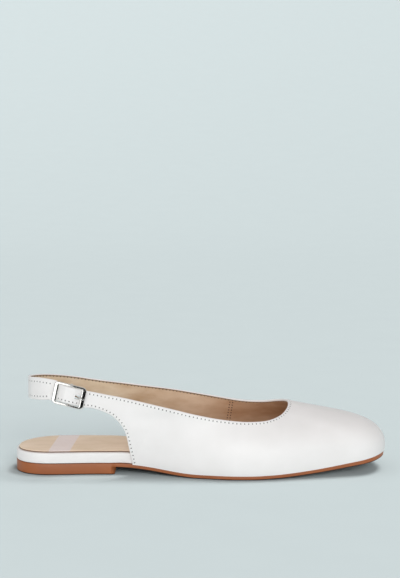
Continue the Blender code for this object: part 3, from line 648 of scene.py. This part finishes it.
def quarter_ribs(side):
    """Ribs of one half of the upper, from the strap at the buckle's end to the middle of the throat."""
    rows = np.array(TOPLINE_ROWS)
    sizes = np.array([LENGTH, BALL_WIDTH, TOPLINE_HEIGHT])
    picks = {LATERAL: (0, 1, 3), MEDIAL: (0, 2, 4)}
    across_throat = rows[-2, picks[-side]] * sizes * (1, -side, 1)
    tops = np.vstack([rows[:, picks[side]] * sizes * (1, side, 1), across_throat])
    shape = np.vstack([rows[:, 5:], rows[-2, 5:]]) * (1, SHOULDER_SWELL)
    feet = []
    for (x_share, z_share), top, (_, swell) in zip(BACK_EDGE_ROWS, tops, shape):
        x, z = x_share * LENGTH, z_share * TOPLINE_HEIGHT
        (_, y_sole), _ = sole_edge(side, share_at(side, x), UPPER_OVERHANG)
        share = (z - footbed_foot(x)) / (top[2] - footbed_foot(x))
        feet.append((x, y_sole + (top[1] - y_sole) * share + side * swell * 3 * share * (1 - share), z))
    if side == LATERAL:
        ends = strap_edges(TAIL_START, tail_out(TAIL_START), TAIL_WIDTH / 2)
    else:
        x_share, y_share, top, bottom = HEEL_STRAP_ROWS[0]
        x, y = x_share * LENGTH, y_share * BALL_WIDTH
        ends = [(x, y, top * TOPLINE_HEIGHT), (x, y + STRAP_LEAN, bottom * TOPLINE_HEIGHT)]
    tops, shape = np.vstack([ends[0], tops]), np.vstack([(0, 0), shape])
    feet.insert(0, ends[-1])
    knots = path_length(tops)
    corner = len(feet)
    (x, y), _ = sole_edge(side, SOLE_EDGE_SHARES[0], UPPER_OVERHANG)
    feet.append((x, y, footbed_foot(x)))
    at = np.concatenate([np.linspace(a, b, count, endpoint=False)
                         for a, b, count in zip(knots, knots[1:], RIBS_PER_CELL)] + [knots[-2:-1]])
    top, (boxed, swell) = smooth(knots, tops, at), smooth(knots, shape, at).T
    foot = smooth(knots[:corner + 1], feet, np.minimum(at, knots[corner]))
    outward = np.tile((0.0, side, 0.0), (len(at), 1))
    past_toe = 2 - SOLE_EDGE_SHARES[-2]
    share = smooth(knots[corner:], SOLE_EDGE_SHARES + (past_toe,), np.maximum(at, knots[corner]))[:, 0]
    place, normal = sole_edge(side, share, UPPER_OVERHANG)
    on_sole = at >= knots[corner]
    foot[on_sole] = np.column_stack([place, footbed_foot(place[:, 0])])[on_sole]
    outward[on_sole, :2] = normal[on_sole]
    return bent_ribs(top, foot, outward, boxed, swell), int(np.sum(~on_sole))


def heel_strap_ribs():
    """The strap from the medial quarter round the heel to the buckle, then round its bar and back."""
    rows = np.array(HEEL_STRAP_ROWS)
    tops = np.column_stack([rows[:, 0] * LENGTH, rows[:, 1] * BALL_WIDTH, rows[:, 2] * TOPLINE_HEIGHT])
    lean = np.where(tops[:, 1] > 0, STRAP_LEAN, -STRAP_LEAN)
    feet = np.column_stack([tops[:, 0], tops[:, 1] + lean, rows[:, 3] * TOPLINE_HEIGHT])

    def under_tail(x):
        return tail_out(x) - TAIL_WALL - FIT_GAP

    ends = strap_edges(HEEL_STRAP_END, under_tail(HEEL_STRAP_END), HEEL_STRAP_WIDTH / 2)
    tops, feet = np.vstack([tops, ends[0]]), np.vstack([feet, ends[1]])
    knots = path_length(tops)
    at = np.linspace(0, knots[-1], HEEL_STRAP_RIBS)[:-1]
    plain = straight_ribs(smooth(knots, tops, at), smooth(knots, feet, at))
    x = np.linspace(HEEL_STRAP_END, -HUMP_HALF, FLAT_RIBS)
    half_wrap = TAIL_WIDTH / 2
    half = HEEL_STRAP_WIDTH / 2 + (half_wrap - HEEL_STRAP_WIDTH / 2) * ease(x, -FRAME_LENGTH / 2, -FRAME_END)
    flat = strap_ribs(x, under_tail(x), half)
    turn = np.linspace(0, math.pi, WRAP_RIBS)
    wrap = strap_ribs(WRAP_OUTER * np.sin(turn), WRAP_OUTER * np.cos(turn), half_wrap)
    back = strap_ribs(np.linspace(-HUMP_HALF, RETURN_END, RETURN_RIBS), -WRAP_OUTER, half_wrap)
    return np.concatenate([plain, flat, wrap, back]), len(plain), len(plain) + len(flat)


tail_x = np.linspace(TAIL_END, TAIL_START, TAIL_RIBS)[:-1]
tail = strap_ribs(tail_x, tail_out(tail_x), TAIL_WIDTH / 2)
lateral_ribs, lateral_edge_ribs = quarter_ribs(LATERAL)
medial_ribs, medial_edge_ribs = quarter_ribs(MEDIAL)
heel_ribs, heel_plain, wrap_start = heel_strap_ribs()
curves = np.concatenate([tail, lateral_ribs, medial_ribs[::-1][1:-1], heel_ribs])
first_heel = len(tail) + len(lateral_ribs) + len(medial_ribs) - 2
walls = np.interp(
    np.arange(len(curves)),
    [0, len(tail), len(tail) + WALL_CHANGE_RIBS, first_heel - WALL_CHANGE_RIBS, first_heel,
     first_heel + heel_plain, first_heel + wrap_start],
    [TAIL_WALL, TAIL_WALL, UPPER_WALL, UPPER_WALL, STRAP_WALL, STRAP_WALL, WRAP_WALL],
)

# Each rib is cut at the same places: close together in the folded edges at its ends, and even between them
EDGE_SHARES = (0.0, 0.05, 0.2, 0.5, 0.9, 1.25)
MIDDLE_CELLS = 34
EDGE_LINES = len(EDGE_SHARES)


def cut_ribs(curves, walls):
    """Points on each rib at the same lines, and how far each is from the nearer end of its rib."""
    grid = np.empty((len(curves), 2 * EDGE_LINES + MIDDLE_CELLS - 1, 3))
    depth = np.empty(grid.shape[:2])
    for k, (curve, wall) in enumerate(zip(curves, walls)):
        length = path_length(curve)
        edge = np.array(EDGE_SHARES) * wall / 2
        middle = np.linspace(edge[-1], length[-1] - edge[-1], MIDDLE_CELLS + 1)[1:-1]
        at = np.concatenate([edge, middle, length[-1] - edge[::-1]])
        grid[k] = read_along(at, length, curve)
        depth[k] = np.minimum(at, length[-1] - at)
    return grid, depth


outer, depth = cut_ribs(curves, walls)


def outward_normals(grid):
    return unit(np.cross(np.gradient(grid, axis=1), np.gradient(grid, axis=0)))


# Soft creases, listed in millimetres: side, x and z at both ends, half width, and height, which is
# below 0 for a trough
CREASES = (
    (LATERAL, (72, 36.0), (116, 43.0), 4.6, -0.55),
    (LATERAL, (80, 44.0), (118, 47.0), 3.4, 0.16),
    (LATERAL, (176, 25.5), (236, 23.0), 4.2, 0.30),
    (LATERAL, (196, 17.0), (232, 15.0), 3.8, -0.16),
    (MEDIAL, (74, 38.0), (116, 45.0), 3.6, -0.30),
    (MEDIAL, (180, 26.0), (232, 23.0), 4.2, 0.26),
)


def crease(points, side, start, end, half_width, height):
    """How far a crease, drawn on one side between two places, lifts the leather at points."""
    start, reach = np.array(start) * MM, (np.array(end) - start) * MM
    away = points[..., [0, 2]] - start
    share = np.clip(away @ reach / (reach @ reach), 0, 1)
    off = np.linalg.norm(away - share[..., None] * reach, axis=-1) / (half_width * MM)
    lift = height * MM * np.exp(-(off**2)) * np.sin(math.pi * share)
    return np.where(side * points[..., 1] > 0, lift, 0)


outer += outward_normals(outer) * sum(crease(outer, *row) for row in CREASES)[:, :, None]
normals = outward_normals(outer)
half_wall = walls[:, None] / 2
rolled = np.clip(1 - depth / half_wall, 0, 1)
fold = half_wall * (1 - np.sqrt(1 - rolled**2))

# Where the upper is cemented to the sole it isn't folded, and it comes down almost to the sole
FOOT_REACH = 0.2 * MM
lateral_back = len(tail) + lateral_edge_ribs
medial_back = first_heel - medial_edge_ribs
on_sole = slice(lateral_back, medial_back)
fold[on_sole, -EDGE_LINES:] = 0
outer[on_sole, -1, 2] -= FOOT_REACH
LINING_LINE = 5
lines = slice(LINING_LINE, outer.shape[1] - LINING_LINE)
seated = np.zeros(outer.shape[1])
seated[lines] = LINING_THICKNESS


def below(depth):
    """The grid of the outer face, moved in by depth along its normals."""
    return outer - normals * depth[:, :, None]


face_out = below(fold)
face_in = below(walls[:, None] - np.maximum(fold, seated[None, :]))


def wall_mesh(name, face_out, face_in, skipped, material):
    """A closed wall between two grids of points that may meet at their edges, open at the skipped cells."""
    rows, columns = face_out.shape[:2]
    points = np.concatenate([face_out.reshape(-1, 3), face_in.reshape(-1, 3)]) + SHIFT
    kept = np.ones((rows - 1, columns - 1), bool)
    for low, high, left, right in skipped:
        kept[low:high, left:right] = False
    bm = bmesh.new()
    verts = [bm.verts.new(p) for p in points]
    inner = rows * columns
    padded = np.pad(kept, 1)
    for i, j in zip(*np.nonzero(kept)):
        a, b = i * columns + j, (i + 1) * columns + j
        ring = (a, a + 1, b + 1, b)
        bm.faces.new([verts[k] for k in ring])
        bm.faces.new([verts[k + inner] for k in reversed(ring)])
        for k, (di, dj) in enumerate(((-1, 0), (0, 1), (1, 0), (0, -1))):
            if not padded[i + 1 + di, j + 1 + dj]:
                c, d = ring[k], ring[(k + 1) % 4]
                bm.faces.new([verts[c], verts[c + inner], verts[d + inner], verts[d]])
    bmesh.ops.delete(bm, geom=[v for v in bm.verts if not v.link_faces], context="VERTS")
    wall = close_mesh(name, bm, material, WALL_MERGE, WALL_SPECK)
    wall.data.set_sharp_from_angle(angle=SHARP_ANGLE)
    return wall


# The prong's hole in the tail and its slot in the fold round the bar, as ranges of ribs and lines
middle_width = TAIL_WIDTH - 2 * EDGE_SHARES[-1] * TAIL_WALL / 2
hole_cells = round(2 * HOLE_HALF / (middle_width / MIDDLE_CELLS) / 2) * 2
first_line = EDGE_LINES - 1 + (MIDDLE_CELLS - hole_cells) // 2
hole_lines = (first_line, first_line + hole_cells)
hole_ribs = np.nonzero((tail_x >= HOLE_START) & (tail_x < HOLE_END))[0]
prong_hole = (hole_ribs[0], hole_ribs[-1], *hole_lines)
bar_slot = (first_heel + wrap_start - 1, first_heel + wrap_start + WRAP_RIBS, *hole_lines)
leather = wall_mesh("upper_leather", face_out, face_in, (prong_hole, bar_slot), calf)
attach(leather, "root")
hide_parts("upper")

# Lining
# Tan lining leather glued inside the upper and the straps, skived thin, trimmed just under the folded edge
# and darker along that cut, partly with dye and partly as painted shade of the step under the fold.
LINING_ROUND = 0.15 * MM
LINING_COLOURS = "E8D5BC", "C7A988"
LINING_TOE_SHADE = "E0CABF"
TOE_SHADE_START, TOE_SHADE_END = 60 * MM, 150 * MM
LINING_EDGE_SHADE_COLOURS = "9A7E62", "866A50"
LINING_GLUE = 0.02 * MM
EDGE_RADIUS = 0.25 * MM
EDGE_SUNK = 0.4
tan_lining = tan_leather("tan lining leather", LINING_COLOURS, 12 * MM)

# Painted shade: the lining darkens from the strap towards the toe, in a slow change along the shoe, as the
# deep front inside is shaded
tree = tan_lining.node_tree
where = add(tree, "ShaderNodeTexCoord").outputs["Object"]
along_shoe = add(tree, "ShaderNodeSeparateXYZ", {"Vector": where}).outputs["X"]
toward_toe_shade = add(tree, "ShaderNodeMapRange", {"Value": along_shoe, "From Min": TOE_SHADE_START + SHIFT[0],
                                           "From Max": TOE_SHADE_END + SHIFT[0]})
over_colour(tree, toward_toe_shade.outputs["Result"], colour(LINING_TOE_SHADE), blend_type="MULTIPLY")
skived = np.zeros(outer.shape[1])
skived[[lines.start, lines.stop - 1]] = LINING_ROUND
inside = walls[:, None] - fold
lining_in = below(inside - skived[None, :])
lining_out = below(walls[:, None] - LINING_THICKNESS + LINING_GLUE)
shifted = [(*rows, left - lines.start, right - lines.start) for *rows, left, right in (prong_hole, bar_slot)]
lining = wall_mesh("upper_lining", lining_out[:, lines], lining_in[:, lines], shifted, tan_lining)
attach(lining, "root")
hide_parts("upper")


def full_turn(count):
    return np.linspace(0, 2 * math.pi, count + 1)[:-1]


def wheel_rings(centres, first, second, radii, sides):
    """Rings of points round centres, in the planes of two directions."""
    turn = full_turn(sides)
    wheel = np.cos(turn)[:, None] * first[..., None, :] + np.sin(turn)[:, None] * second[..., None, :]
    return centres[..., None, :] + np.asarray(radii)[..., None, None] * wheel


def round_rod(path, radii, sides=20):
    """Rings of a round rod through a path of points, closed by a point at both ends."""
    points = np.array(path, float)
    along = unit(np.gradient(points, axis=0))
    side = unit(np.cross(along, (0.1, 1.0, 0.2) if abs(along[0][1]) < 0.9 else (1, 0, 0)))
    other = np.cross(along, side)
    rings = wheel_rings(points, side, other, radii, sides)
    return np.concatenate([points[[0]].repeat(sides, 0)[None], rings, points[[-1]].repeat(sides, 0)[None]])


heel_end = first_heel + heel_plain
cut_rows = []
for ribs, line in ((slice(0, heel_end), LINING_LINE), (slice(0, lateral_back), -LINING_LINE - 1),
                   (slice(medial_back, heel_end), -LINING_LINE - 1)):
    sunk = (inside[ribs, line] - EDGE_RADIUS * EDGE_SUNK)[:, None]
    cut_rows.append((round_rod((outer[ribs, line] - normals[ribs, line] * sunk), EDGE_RADIUS, 8), True))
# The bead's darker brown is partly the dye of the cut and partly painted shade of the step under the fold
lining_edge_shade = tan_leather("cut edge of the lining with painted shade", LINING_EDGE_SHADE_COLOURS, 5 * MM)
trimmed = grid_mesh("trimmed_lining_edge", cut_rows, lining_edge_shade)
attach(trimmed, "root")

# Stitching
# Lockstitch in white thread along every folded edge, through leather and lining, 2.65 mm a stitch. Each
# stitch dips into a needle hole at both ends. On the inside the thread is tan. Each hole is a small disc of
# painted shade, dark grey outside and dark brown inside.
STITCH_PITCH = 2.65 * MM
STITCH_INSET = 1.75 * MM
HEEL_STRAP_TOP_INSET = 2.9 * MM
HEEL_STRAP_FOOT_INSET = 2.4 * MM
LINING_STITCH_INSET = 1.4 * MM
LINING_STITCH_PITCH = 2.5 * MM
THREAD_RADIUS = 0.19 * MM
HOLE_RADIUS = 0.5 * MM
SEAM_PITCH = 2.1 * MM
LINING_SEAM = 148.0 * MM
SEAM_HALF = 1.0 * MM
SEAM_LEAN = 0.16
INSET_CHANGE_RIBS = 20


def thread_and_hole_shade_material(name, code, roughness):
    """Spun polyester thread, or the painted shade of a needle hole: matt, with twist or fibres as a fine
    bump.
    """
    material, tree, where = new_material(name, IOR=1.54, Roughness=roughness, Base_Color=colour(code))
    twist = add(tree, "ShaderNodeTexNoise", {"Vector": where, "Scale": 1 / (0.3 * MM), "Detail": 1.0})
    fine = add(tree, "ShaderNodeBump", {"Height": twist.outputs["Fac"], "Strength": 0.4,
                                        "Distance": 0.05 * MM})
    dress(tree, Normal=fine.outputs["Normal"])
    return material


def edge_row(ribs, end, inset):
    """Line on the outer face at an inset from the folded edge in which the given ribs end."""
    edge, normal = outer[ribs, end], normals[ribs, end]
    tangent = np.gradient(edge, axis=0)
    inward = unit(np.cross(normal, tangent))
    inner = 8 if end == 0 else -9
    inward *= np.sign(np.sum(inward * (outer[ribs, inner] - edge)))
    return edge + np.asarray(inset)[..., None] * inward


def needle_points(line, pitch, piece):
    """Points at a pitch along a line, seated on a piece, and the piece's normals there."""
    corners = [v.co for v in piece.data.vertices]
    tree = BVHTree.FromPolygons(corners, [p.vertices for p in piece.data.polygons])
    length = path_length(line)
    at = np.arange(pitch / 2, length[-1], pitch)
    hits = [tree.find_nearest(Vector(p))[:2] for p in read_along(at, length, line) + SHIFT]
    return np.array([h[0] for h in hits]) - SHIFT, np.array([h[1] for h in hits])


def many_rods(name, rings, material):
    """One mesh from an array of short rods. Rings are indexed by rod, place along it, and place round it."""
    rods, places, sides = rings.shape[:3]
    index = np.arange(rods * places * sides).reshape(rods, places, sides)
    near, far = index[:, :-1], index[:, 1:]
    quads = np.stack([near, np.roll(near, -1, 2), np.roll(far, -1, 2), far], -1).reshape(-1, 4)
    caps = np.concatenate([index[:, 0, ::-1], index[:, -1]])
    mesh = bpy.data.meshes.new(name)
    mesh.from_pydata((rings.reshape(-1, 3) + SHIFT).tolist(), [], quads.tolist() + caps.tolist())
    obj = new_object(name, mesh, material)
    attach(obj, "root")
    return obj


def thread_rings(points, normal):
    """Stitches from each needle hole to the next, lying on the leather and dipping in at both ends."""
    along = np.diff(points, axis=0)[:, None]
    up = unit((normal[:-1] + normal[1:])[:, None] / 2)
    share = np.array((0.06, 0.14, 0.28, 0.5, 0.72, 0.86, 0.94))
    rise = THREAD_RADIUS * (1.5 * np.sin(math.pi * share) ** 0.5 - 1.1)
    centres = points[:-1, None] + share[:, None] * along + rise[:, None] * up
    radii = THREAD_RADIUS * np.array((0.7, 0.95, 1, 1, 1, 0.95, 0.7))
    return wheel_rings(centres, up, unit(np.cross(along, up)), radii, 6)


def hole_rings(points, normal, radius):
    """Each needle hole as a small dark button of painted shade, let into the leather and flush with it."""
    first = unit(np.cross(normal, (0.31, 0.95, 0.12)))
    second = np.cross(normal, first)
    depth = np.array((-0.16, -0.02, 0.04)) * MM
    centres = points[:, None] + depth[:, None] * normal[:, None]
    return wheel_rings(centres, first[:, None], second[:, None], radius * np.array((0.5, 1.0, 0.8)), 8)


topline = slice(len(tail), heel_end)
strap_share = np.clip((np.arange(heel_end) - first_heel) / INSET_CHANGE_RIBS + 1, 0, 1)
top_inset = STITCH_INSET + (HEEL_STRAP_TOP_INSET - STITCH_INSET) * strap_share
foot_inset = STITCH_INSET + (HEEL_STRAP_FOOT_INSET - STITCH_INSET) * strap_share
back_edges = ((slice(0, lateral_back), -1, foot_inset[:lateral_back]),
              (slice(medial_back, heel_end), -1, foot_inset[medial_back:]))
outside, inward = [], []
for ribs, end, inset in ((topline, 0, top_inset[topline]), *back_edges):
    outside.append(needle_points(edge_row(ribs, end, inset), STITCH_PITCH, leather))
    row = edge_row(ribs, end, np.full(len(inset), LINING_STITCH_INSET)) - normals[ribs, end] * UPPER_WALL
    inward.append(needle_points(row, LINING_STITCH_PITCH, lining))
white_thread = thread_and_hole_shade_material("white polyester thread", "F6F4F2", 0.6)
tan_thread = thread_and_hole_shade_material("tan polyester thread", "A88A6C", 0.7)
# The needle holes' dark colours are painted shade: the dark that a hole with thread in it shows
grey_hole_shade = thread_and_hole_shade_material("painted shade of a needle hole in white leather", "3A3633", 0.9)
brown_hole_shade = thread_and_hole_shade_material("painted shade of a needle hole in tan leather", "33251B", 0.9)
stitches = many_rods("topline_stitches", np.concatenate([thread_rings(*s) for s in outside]), white_thread)
holes = many_rods("needle_holes", np.concatenate([hole_rings(*s, HOLE_RADIUS) for s in outside]), grey_hole_shade)
back_stitches = many_rods("lining_stitches", np.concatenate([thread_rings(*s) for s in inward]), tan_thread)

# The lining is joined behind the ball by a seam on each side, a double row of holes down to the sock
rows = list(inward)
for side, ribs in ((LATERAL, np.arange(len(tail), len(tail) + len(lateral_ribs))),
                   (MEDIAL, np.arange(len(tail) + len(lateral_ribs), first_heel))):
    for offset in (-SEAM_HALF, SEAM_HALF):
        top = ribs[np.argmin(abs(outer[ribs, EDGE_LINES, 0] - LINING_SEAM - offset))]
        line = []
        for k in range(EDGE_LINES, outer.shape[1] - EDGE_LINES):
            fall = outer[top, EDGE_LINES, 2] - outer[top, k, 2]
            place = LINING_SEAM + offset - SEAM_LEAN * fall
            by_x = ribs[np.argsort(outer[ribs, k, 0])]
            inner_face = outer[by_x, k] - normals[by_x, k] * UPPER_WALL
            line.append([np.interp(place, outer[by_x, k, 0], inner_face[:, c]) for c in range(3)])
        rows.append(needle_points(np.array(line), SEAM_PITCH, lining))
# These holes are dark buttons of painted shade too
lining_holes = many_rods("lining_needle_holes", np.concatenate([hole_rings(*r, HOLE_RADIUS) for r in rows]),
                         brown_hole_shade)

# Buckle frame
# An oblong frame and its bar, die cast in zinc, polished and nickel plated. Both straps are held by it.
FRAME_CORNER = 2.6 * MM
FRAME_FLATNESS = 0.6
FRAME_CORNER_STEPS, FRAME_SIDE_STEPS, FRAME_RING = 14, 16, 32
NICKEL_COLOURS = "F4F3F0", "E6E4E0"
nickel, tree, where = new_material("polished nickel plate", Metallic=1.0)
wipes = add(tree, "ShaderNodeTexNoise", {"Vector": where, "Scale": 1 / (3 * MM), "Detail": 3.0})
tint = add(tree, "ShaderNodeMix", {"Factor": wipes.outputs["Fac"], **tones(NICKEL_COLOURS)}, data_type="RGBA")
haze = add(tree, "ShaderNodeMapRange", {"Value": wipes.outputs["Fac"], "To Min": 0.06, "To Max": 0.16})
dress(tree, Base_Color=tint.outputs["Result"], Roughness=haze.outputs["Result"])


def squared(part, flatness):
    """A cosine or sine pushed outwards, so that the circle drawn with it becomes a rounded square."""
    return math.copysign(abs(part) ** flatness, part)


rings = []
long_half = (FRAME_LENGTH - FRAME_END_WIDTH) / 2
high_half = (FRAME_HEIGHT - FRAME_RAIL_WIDTH) / 2
corner_radius = FRAME_CORNER - FRAME_RAIL_WIDTH / 2
line = []
for quarter, (sx, sy) in enumerate(((1, 1), (-1, 1), (-1, -1), (1, -1))):
    centre = (sx * (long_half - corner_radius), sy * (high_half - corner_radius))
    for turn in np.linspace(0, 1, FRAME_CORNER_STEPS):
        angle = (quarter + turn) * math.pi / 2
        x, y = corner_radius * math.cos(angle), corner_radius * math.sin(angle)
        line.append((centre[0] + x, centre[1] + y, angle))
full = []
for (x, y, angle), (x_next, y_next, _) in zip(line, line[1:] + line[:1]):
    steps = FRAME_SIDE_STEPS if math.hypot(x_next - x, y_next - y) > MM else 1
    for share in np.linspace(0, 1, steps, endpoint=False):
        full.append((x + (x_next - x) * share, y + (y_next - y) * share, angle))
for x, y, angle in full + full[:1]:
    width = FRAME_RAIL_WIDTH + (FRAME_END_WIDTH - FRAME_RAIL_WIDTH) * math.cos(angle) ** 2
    ring = []
    for turn in full_turn(FRAME_RING):
        across = squared(math.cos(turn), FRAME_FLATNESS) * width / 2
        lift = squared(math.sin(turn), FRAME_FLATNESS) * FRAME_THICKNESS / 2
        ring.append((x + across * math.cos(angle), y + across * math.sin(angle), FRAME_RISE + lift))
    rings.append(ring)

leg = (FRAME_HEIGHT - FRAME_RAIL_WIDTH) / 2
bar_path = [(0, leg, z) for z in np.linspace(FRAME_RISE, BAR_RADIUS, 5)]
for turn in np.linspace(0, math.pi / 2, 7)[1:]:
    bar_path.append((0, leg - BAR_RADIUS * (1 - math.cos(turn)), BAR_RADIUS * (1 - math.sin(turn))))
bar_path += [(0, -y, z) for _, y, z in reversed(bar_path)]
buckle_frame = grid_mesh("cast_buckle_frame",
                         [(in_buckle(rings), True), (in_buckle(round_rod(bar_path, BAR_RADIUS)), True)],
                         nickel)
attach(buckle_frame, "root")
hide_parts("buckle_frame")

# Buckle prong
# Steel, plated as the frame is. Its eye turns on the bar, and its shank comes up through the strap's hole and
# rests on the front end of the frame.
PRONG_RADIUS = 0.6 * MM
PRONG_RING_WIDTH = 1.7 * MM
EYE_CLEARANCE = 0.25 * MM
EYE_FLATNESS = 0.6
EYE_STEPS, EYE_RING, SHANK_STEPS = 41, 16, 40
middle_radius = (BAR_RADIUS + EYE_CLEARANCE + WRAP_OUTER) / 2
half_deep = (WRAP_OUTER - BAR_RADIUS - EYE_CLEARANCE) / 2
eye = []
for turn in np.linspace(0, 2 * math.pi, EYE_STEPS):
    radial = np.array([math.cos(turn), 0, math.sin(turn)])
    ring = []
    for part in full_turn(EYE_RING):
        across = squared(math.cos(part), EYE_FLATNESS) * PRONG_RING_WIDTH / 2
        deep = squared(math.sin(part), EYE_FLATNESS) * half_deep
        ring.append(radial * (middle_radius + deep) + np.array([0, across, 0]))
    eye.append(ring)
over = FRAME_RISE + FRAME_THICKNESS / 2 + FIT_GAP + PRONG_RADIUS
SHANK_ROWS = ((0.19, 0.12), (0.40, 0.16), (0.60, 0.23), (0.70, 0.42), (0.86, 0.72), (0.97, 0.94))
shank = [(x * FRAME_END, z * over) for x, z in SHANK_ROWS]
shank += [(FRAME_END + share * FRAME_END_WIDTH, over) for share in (0.36, 0.90)]
knots = path_length(np.array(shank))
at = np.linspace(0, knots[-1], SHANK_STEPS)
x, z = smooth(knots, shank, at).T
tip = np.sqrt(np.clip(1 - np.clip(1 - (knots[-1] - at) / PRONG_RADIUS, 0, 1) ** 2, 0.02, 1))
shank_rod = in_buckle(round_rod(np.column_stack([x, 0 * x, z]), PRONG_RADIUS * tip))
prong = grid_mesh("buckle_prong_steel", [(in_buckle(eye), True), (shank_rod, True)], nickel)
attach(prong, "root")
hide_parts("buckle_prong")

# Studio
# A pale floor that rises all round as a shallow bowl, an even sky of diffused light, soft light for the
# floor, a low softbox for the shoe, cards for the buckle, and a camera almost a metre away, a little above.
FLOOR_COLOURS = "949C9D", "929A9B"
FLOOR_SPOKES = 96
FLOOR_FLAT = 1.5
FLOOR_REACH = 6.5
FLOOR_RISE = 1.0
SKY_STRENGTH = 0.66
SOFTBOX_SIZE = (1.2, 0.8)
SOFTBOX_POWER = 12.3
SOFTBOX_PLACE = (-0.05, -1.6, 0.32)
SOFTBOX_AIM = (0, 0, 0.03)
# Each sun: the direction that it shines from, its spread in degrees, and its strength
SUNS = (
    ("sun_behind", (0.34, 0.26, 1.0), 24, 3.4),
    ("sun_front", (0.45, -1.0, 0.38), 35, 4.3),
)
CARD_GLOW = 1.15
CAMERA_DISTANCE = 950 * MM
CAMERA_ELEVATION = math.radians(12.5)
CAMERA_TARGET = Vector((126 * MM, -3 * MM, 25 * MM)) + Vector(SHIFT)
TARGET_PIXEL = (200.5, 432)
IMAGE_SIZE = (400, 578)
PIXEL_SIZE = 0.68665 * MM

paper, tree, where = new_material("matt background paper", Roughness=1.0, Specular_IOR_Level=0.1)
fibre = add(tree, "ShaderNodeTexNoise", {"Vector": where, "Scale": 1 / (40 * MM), "Detail": 2.0})
tint = add(tree, "ShaderNodeMix", {"Factor": fibre.outputs["Fac"], **tones(FLOOR_COLOURS)}, data_type="RGBA")
dress(tree, Base_Color=tint.outputs["Result"])
radius = np.concatenate([[0.0, 0.3, 0.8], np.linspace(FLOOR_FLAT, FLOOR_REACH, 24)])
height = FLOOR_RISE * (np.clip(radius - FLOOR_FLAT, 0, None) / (FLOOR_REACH - FLOOR_FLAT)) ** 1.5
turn = full_turn(FLOOR_SPOKES)
bowl = np.stack([radius[:, None] * np.cos(turn), radius[:, None] * np.sin(turn),
                 np.broadcast_to(height[:, None], (len(radius), len(turn)))], -1) - SHIFT
backdrop = grid_mesh("studio_floor", [(bowl, True)], paper)
if backdrop.data.polygons[0].normal.z < 0:
    backdrop.data.flip_normals()

focal = CAMERA_DISTANCE / PIXEL_SIZE
drop = math.atan((TARGET_PIXEL[1] - IMAGE_SIZE[1] / 2) / focal)
pitch = CAMERA_ELEVATION - drop
yaw = math.atan((TARGET_PIXEL[0] - IMAGE_SIZE[0] / 2) / focal)
camera_data = bpy.data.cameras.new("camera")
camera_data.sensor_width = 36.0
camera_data.lens = focal * math.cos(drop) * camera_data.sensor_width / IMAGE_SIZE[1]
camera = bpy.data.objects.new("camera", camera_data)
back = Vector((0, -math.cos(CAMERA_ELEVATION), math.sin(CAMERA_ELEVATION)))
camera.location = CAMERA_TARGET + CAMERA_DISTANCE * back
camera.rotation_euler = (math.pi / 2 - pitch, 0, yaw)
bpy.context.scene.collection.objects.link(camera)
bpy.context.scene.camera = camera

shoe = bpy.data.collections.new("shoe")
stage = bpy.data.collections.new("stage")
stage.objects.link(backdrop)
for obj in bpy.context.scene.objects:
    if obj.type == "MESH" and obj != backdrop:
        shoe.objects.link(obj)

# A softbox low in front lights the shoe. The floor has its own light: a soft sun from above on the right,
# which draws the shadow in under the shoe, and a low one from in front, which reaches in under the shank.
box_light = bpy.data.lights.new("softbox_front", "AREA")
box_light.shape = "RECTANGLE"
box_light.size, box_light.size_y = SOFTBOX_SIZE
box_light.energy = SOFTBOX_POWER
softbox = bpy.data.objects.new("softbox_front", box_light)
softbox.location = SOFTBOX_PLACE
softbox.rotation_euler = (Vector(SOFTBOX_AIM) - softbox.location).to_track_quat("-Z", "Y").to_euler()
softbox.light_linking.receiver_collection = shoe
bpy.context.scene.collection.objects.link(softbox)
for name, towards, spread, strength in SUNS:
    sun_light = bpy.data.lights.new(name, "SUN")
    sun_light.angle = math.radians(spread)
    sun_light.energy = strength
    sun = bpy.data.objects.new(name, sun_light)
    sun.rotation_euler = Vector(towards).to_track_quat("Z", "Y").to_euler()
    sun.light_linking.receiver_collection = stage
    bpy.context.scene.collection.objects.link(sun)

# Cards round the buckle, which only reflections see: a white one that its flat faces mirror, and black ones
# that its rounded edges mirror. Each is centre, then half sizes, in mm along, across and out of the buckle.
black, _, _ = new_material("black velvet card", Roughness=1.0, Specular_IOR_Level=0.0,
                           Base_Color=colour("0C0C0E"))
white, _, _ = new_material("lit white card", Roughness=1.0, Emission_Strength=CARD_GLOW,
                           Emission_Color=colour("FFFFFF"))
CARDS = (
    ("card_white", (-60, 0, 90), (42, 70, 0), white),
    ("card_right", (50, 0, 90), (68, 90, 0), black),
    ("card_far_right", (118, 0, 40), (0, 90, 50), black),
    ("card_left", (-104, 0, 40), (0, 90, 50), black),
    ("card_above", (6, 72, 44), (112, 0, 46), black),
    ("card_below", (6, -72, 60), (112, 0, 30), black),
)
for name, centre, half, material in CARDS:
    corners = []
    for a, b in ((-1, -1), (1, -1), (1, 1), (-1, 1)):
        spans = iter((a, b))
        corners.append([c + (next(spans) * h if h else 0) for c, h in zip(centre, half)])
    mesh = bpy.data.meshes.new(name)
    mesh.from_pydata((in_buckle(np.array(corners) * MM) + SHIFT).tolist(), [], [(0, 1, 2, 3)])
    card = new_object(name, mesh, material)
    for ray in ("camera", "diffuse", "transmission", "volume_scatter", "shadow"):
        setattr(card, "visible_" + ray, False)

world = bpy.data.worlds.new("studio")
world.use_nodes = True
world.node_tree.nodes["Background"].inputs["Color"].default_value = colour("FFFFFF")
world.node_tree.nodes["Background"].inputs["Strength"].default_value = SKY_STRENGTH
bpy.context.scene.world = world
bpy.context.scene.view_settings.view_transform = "Standard"
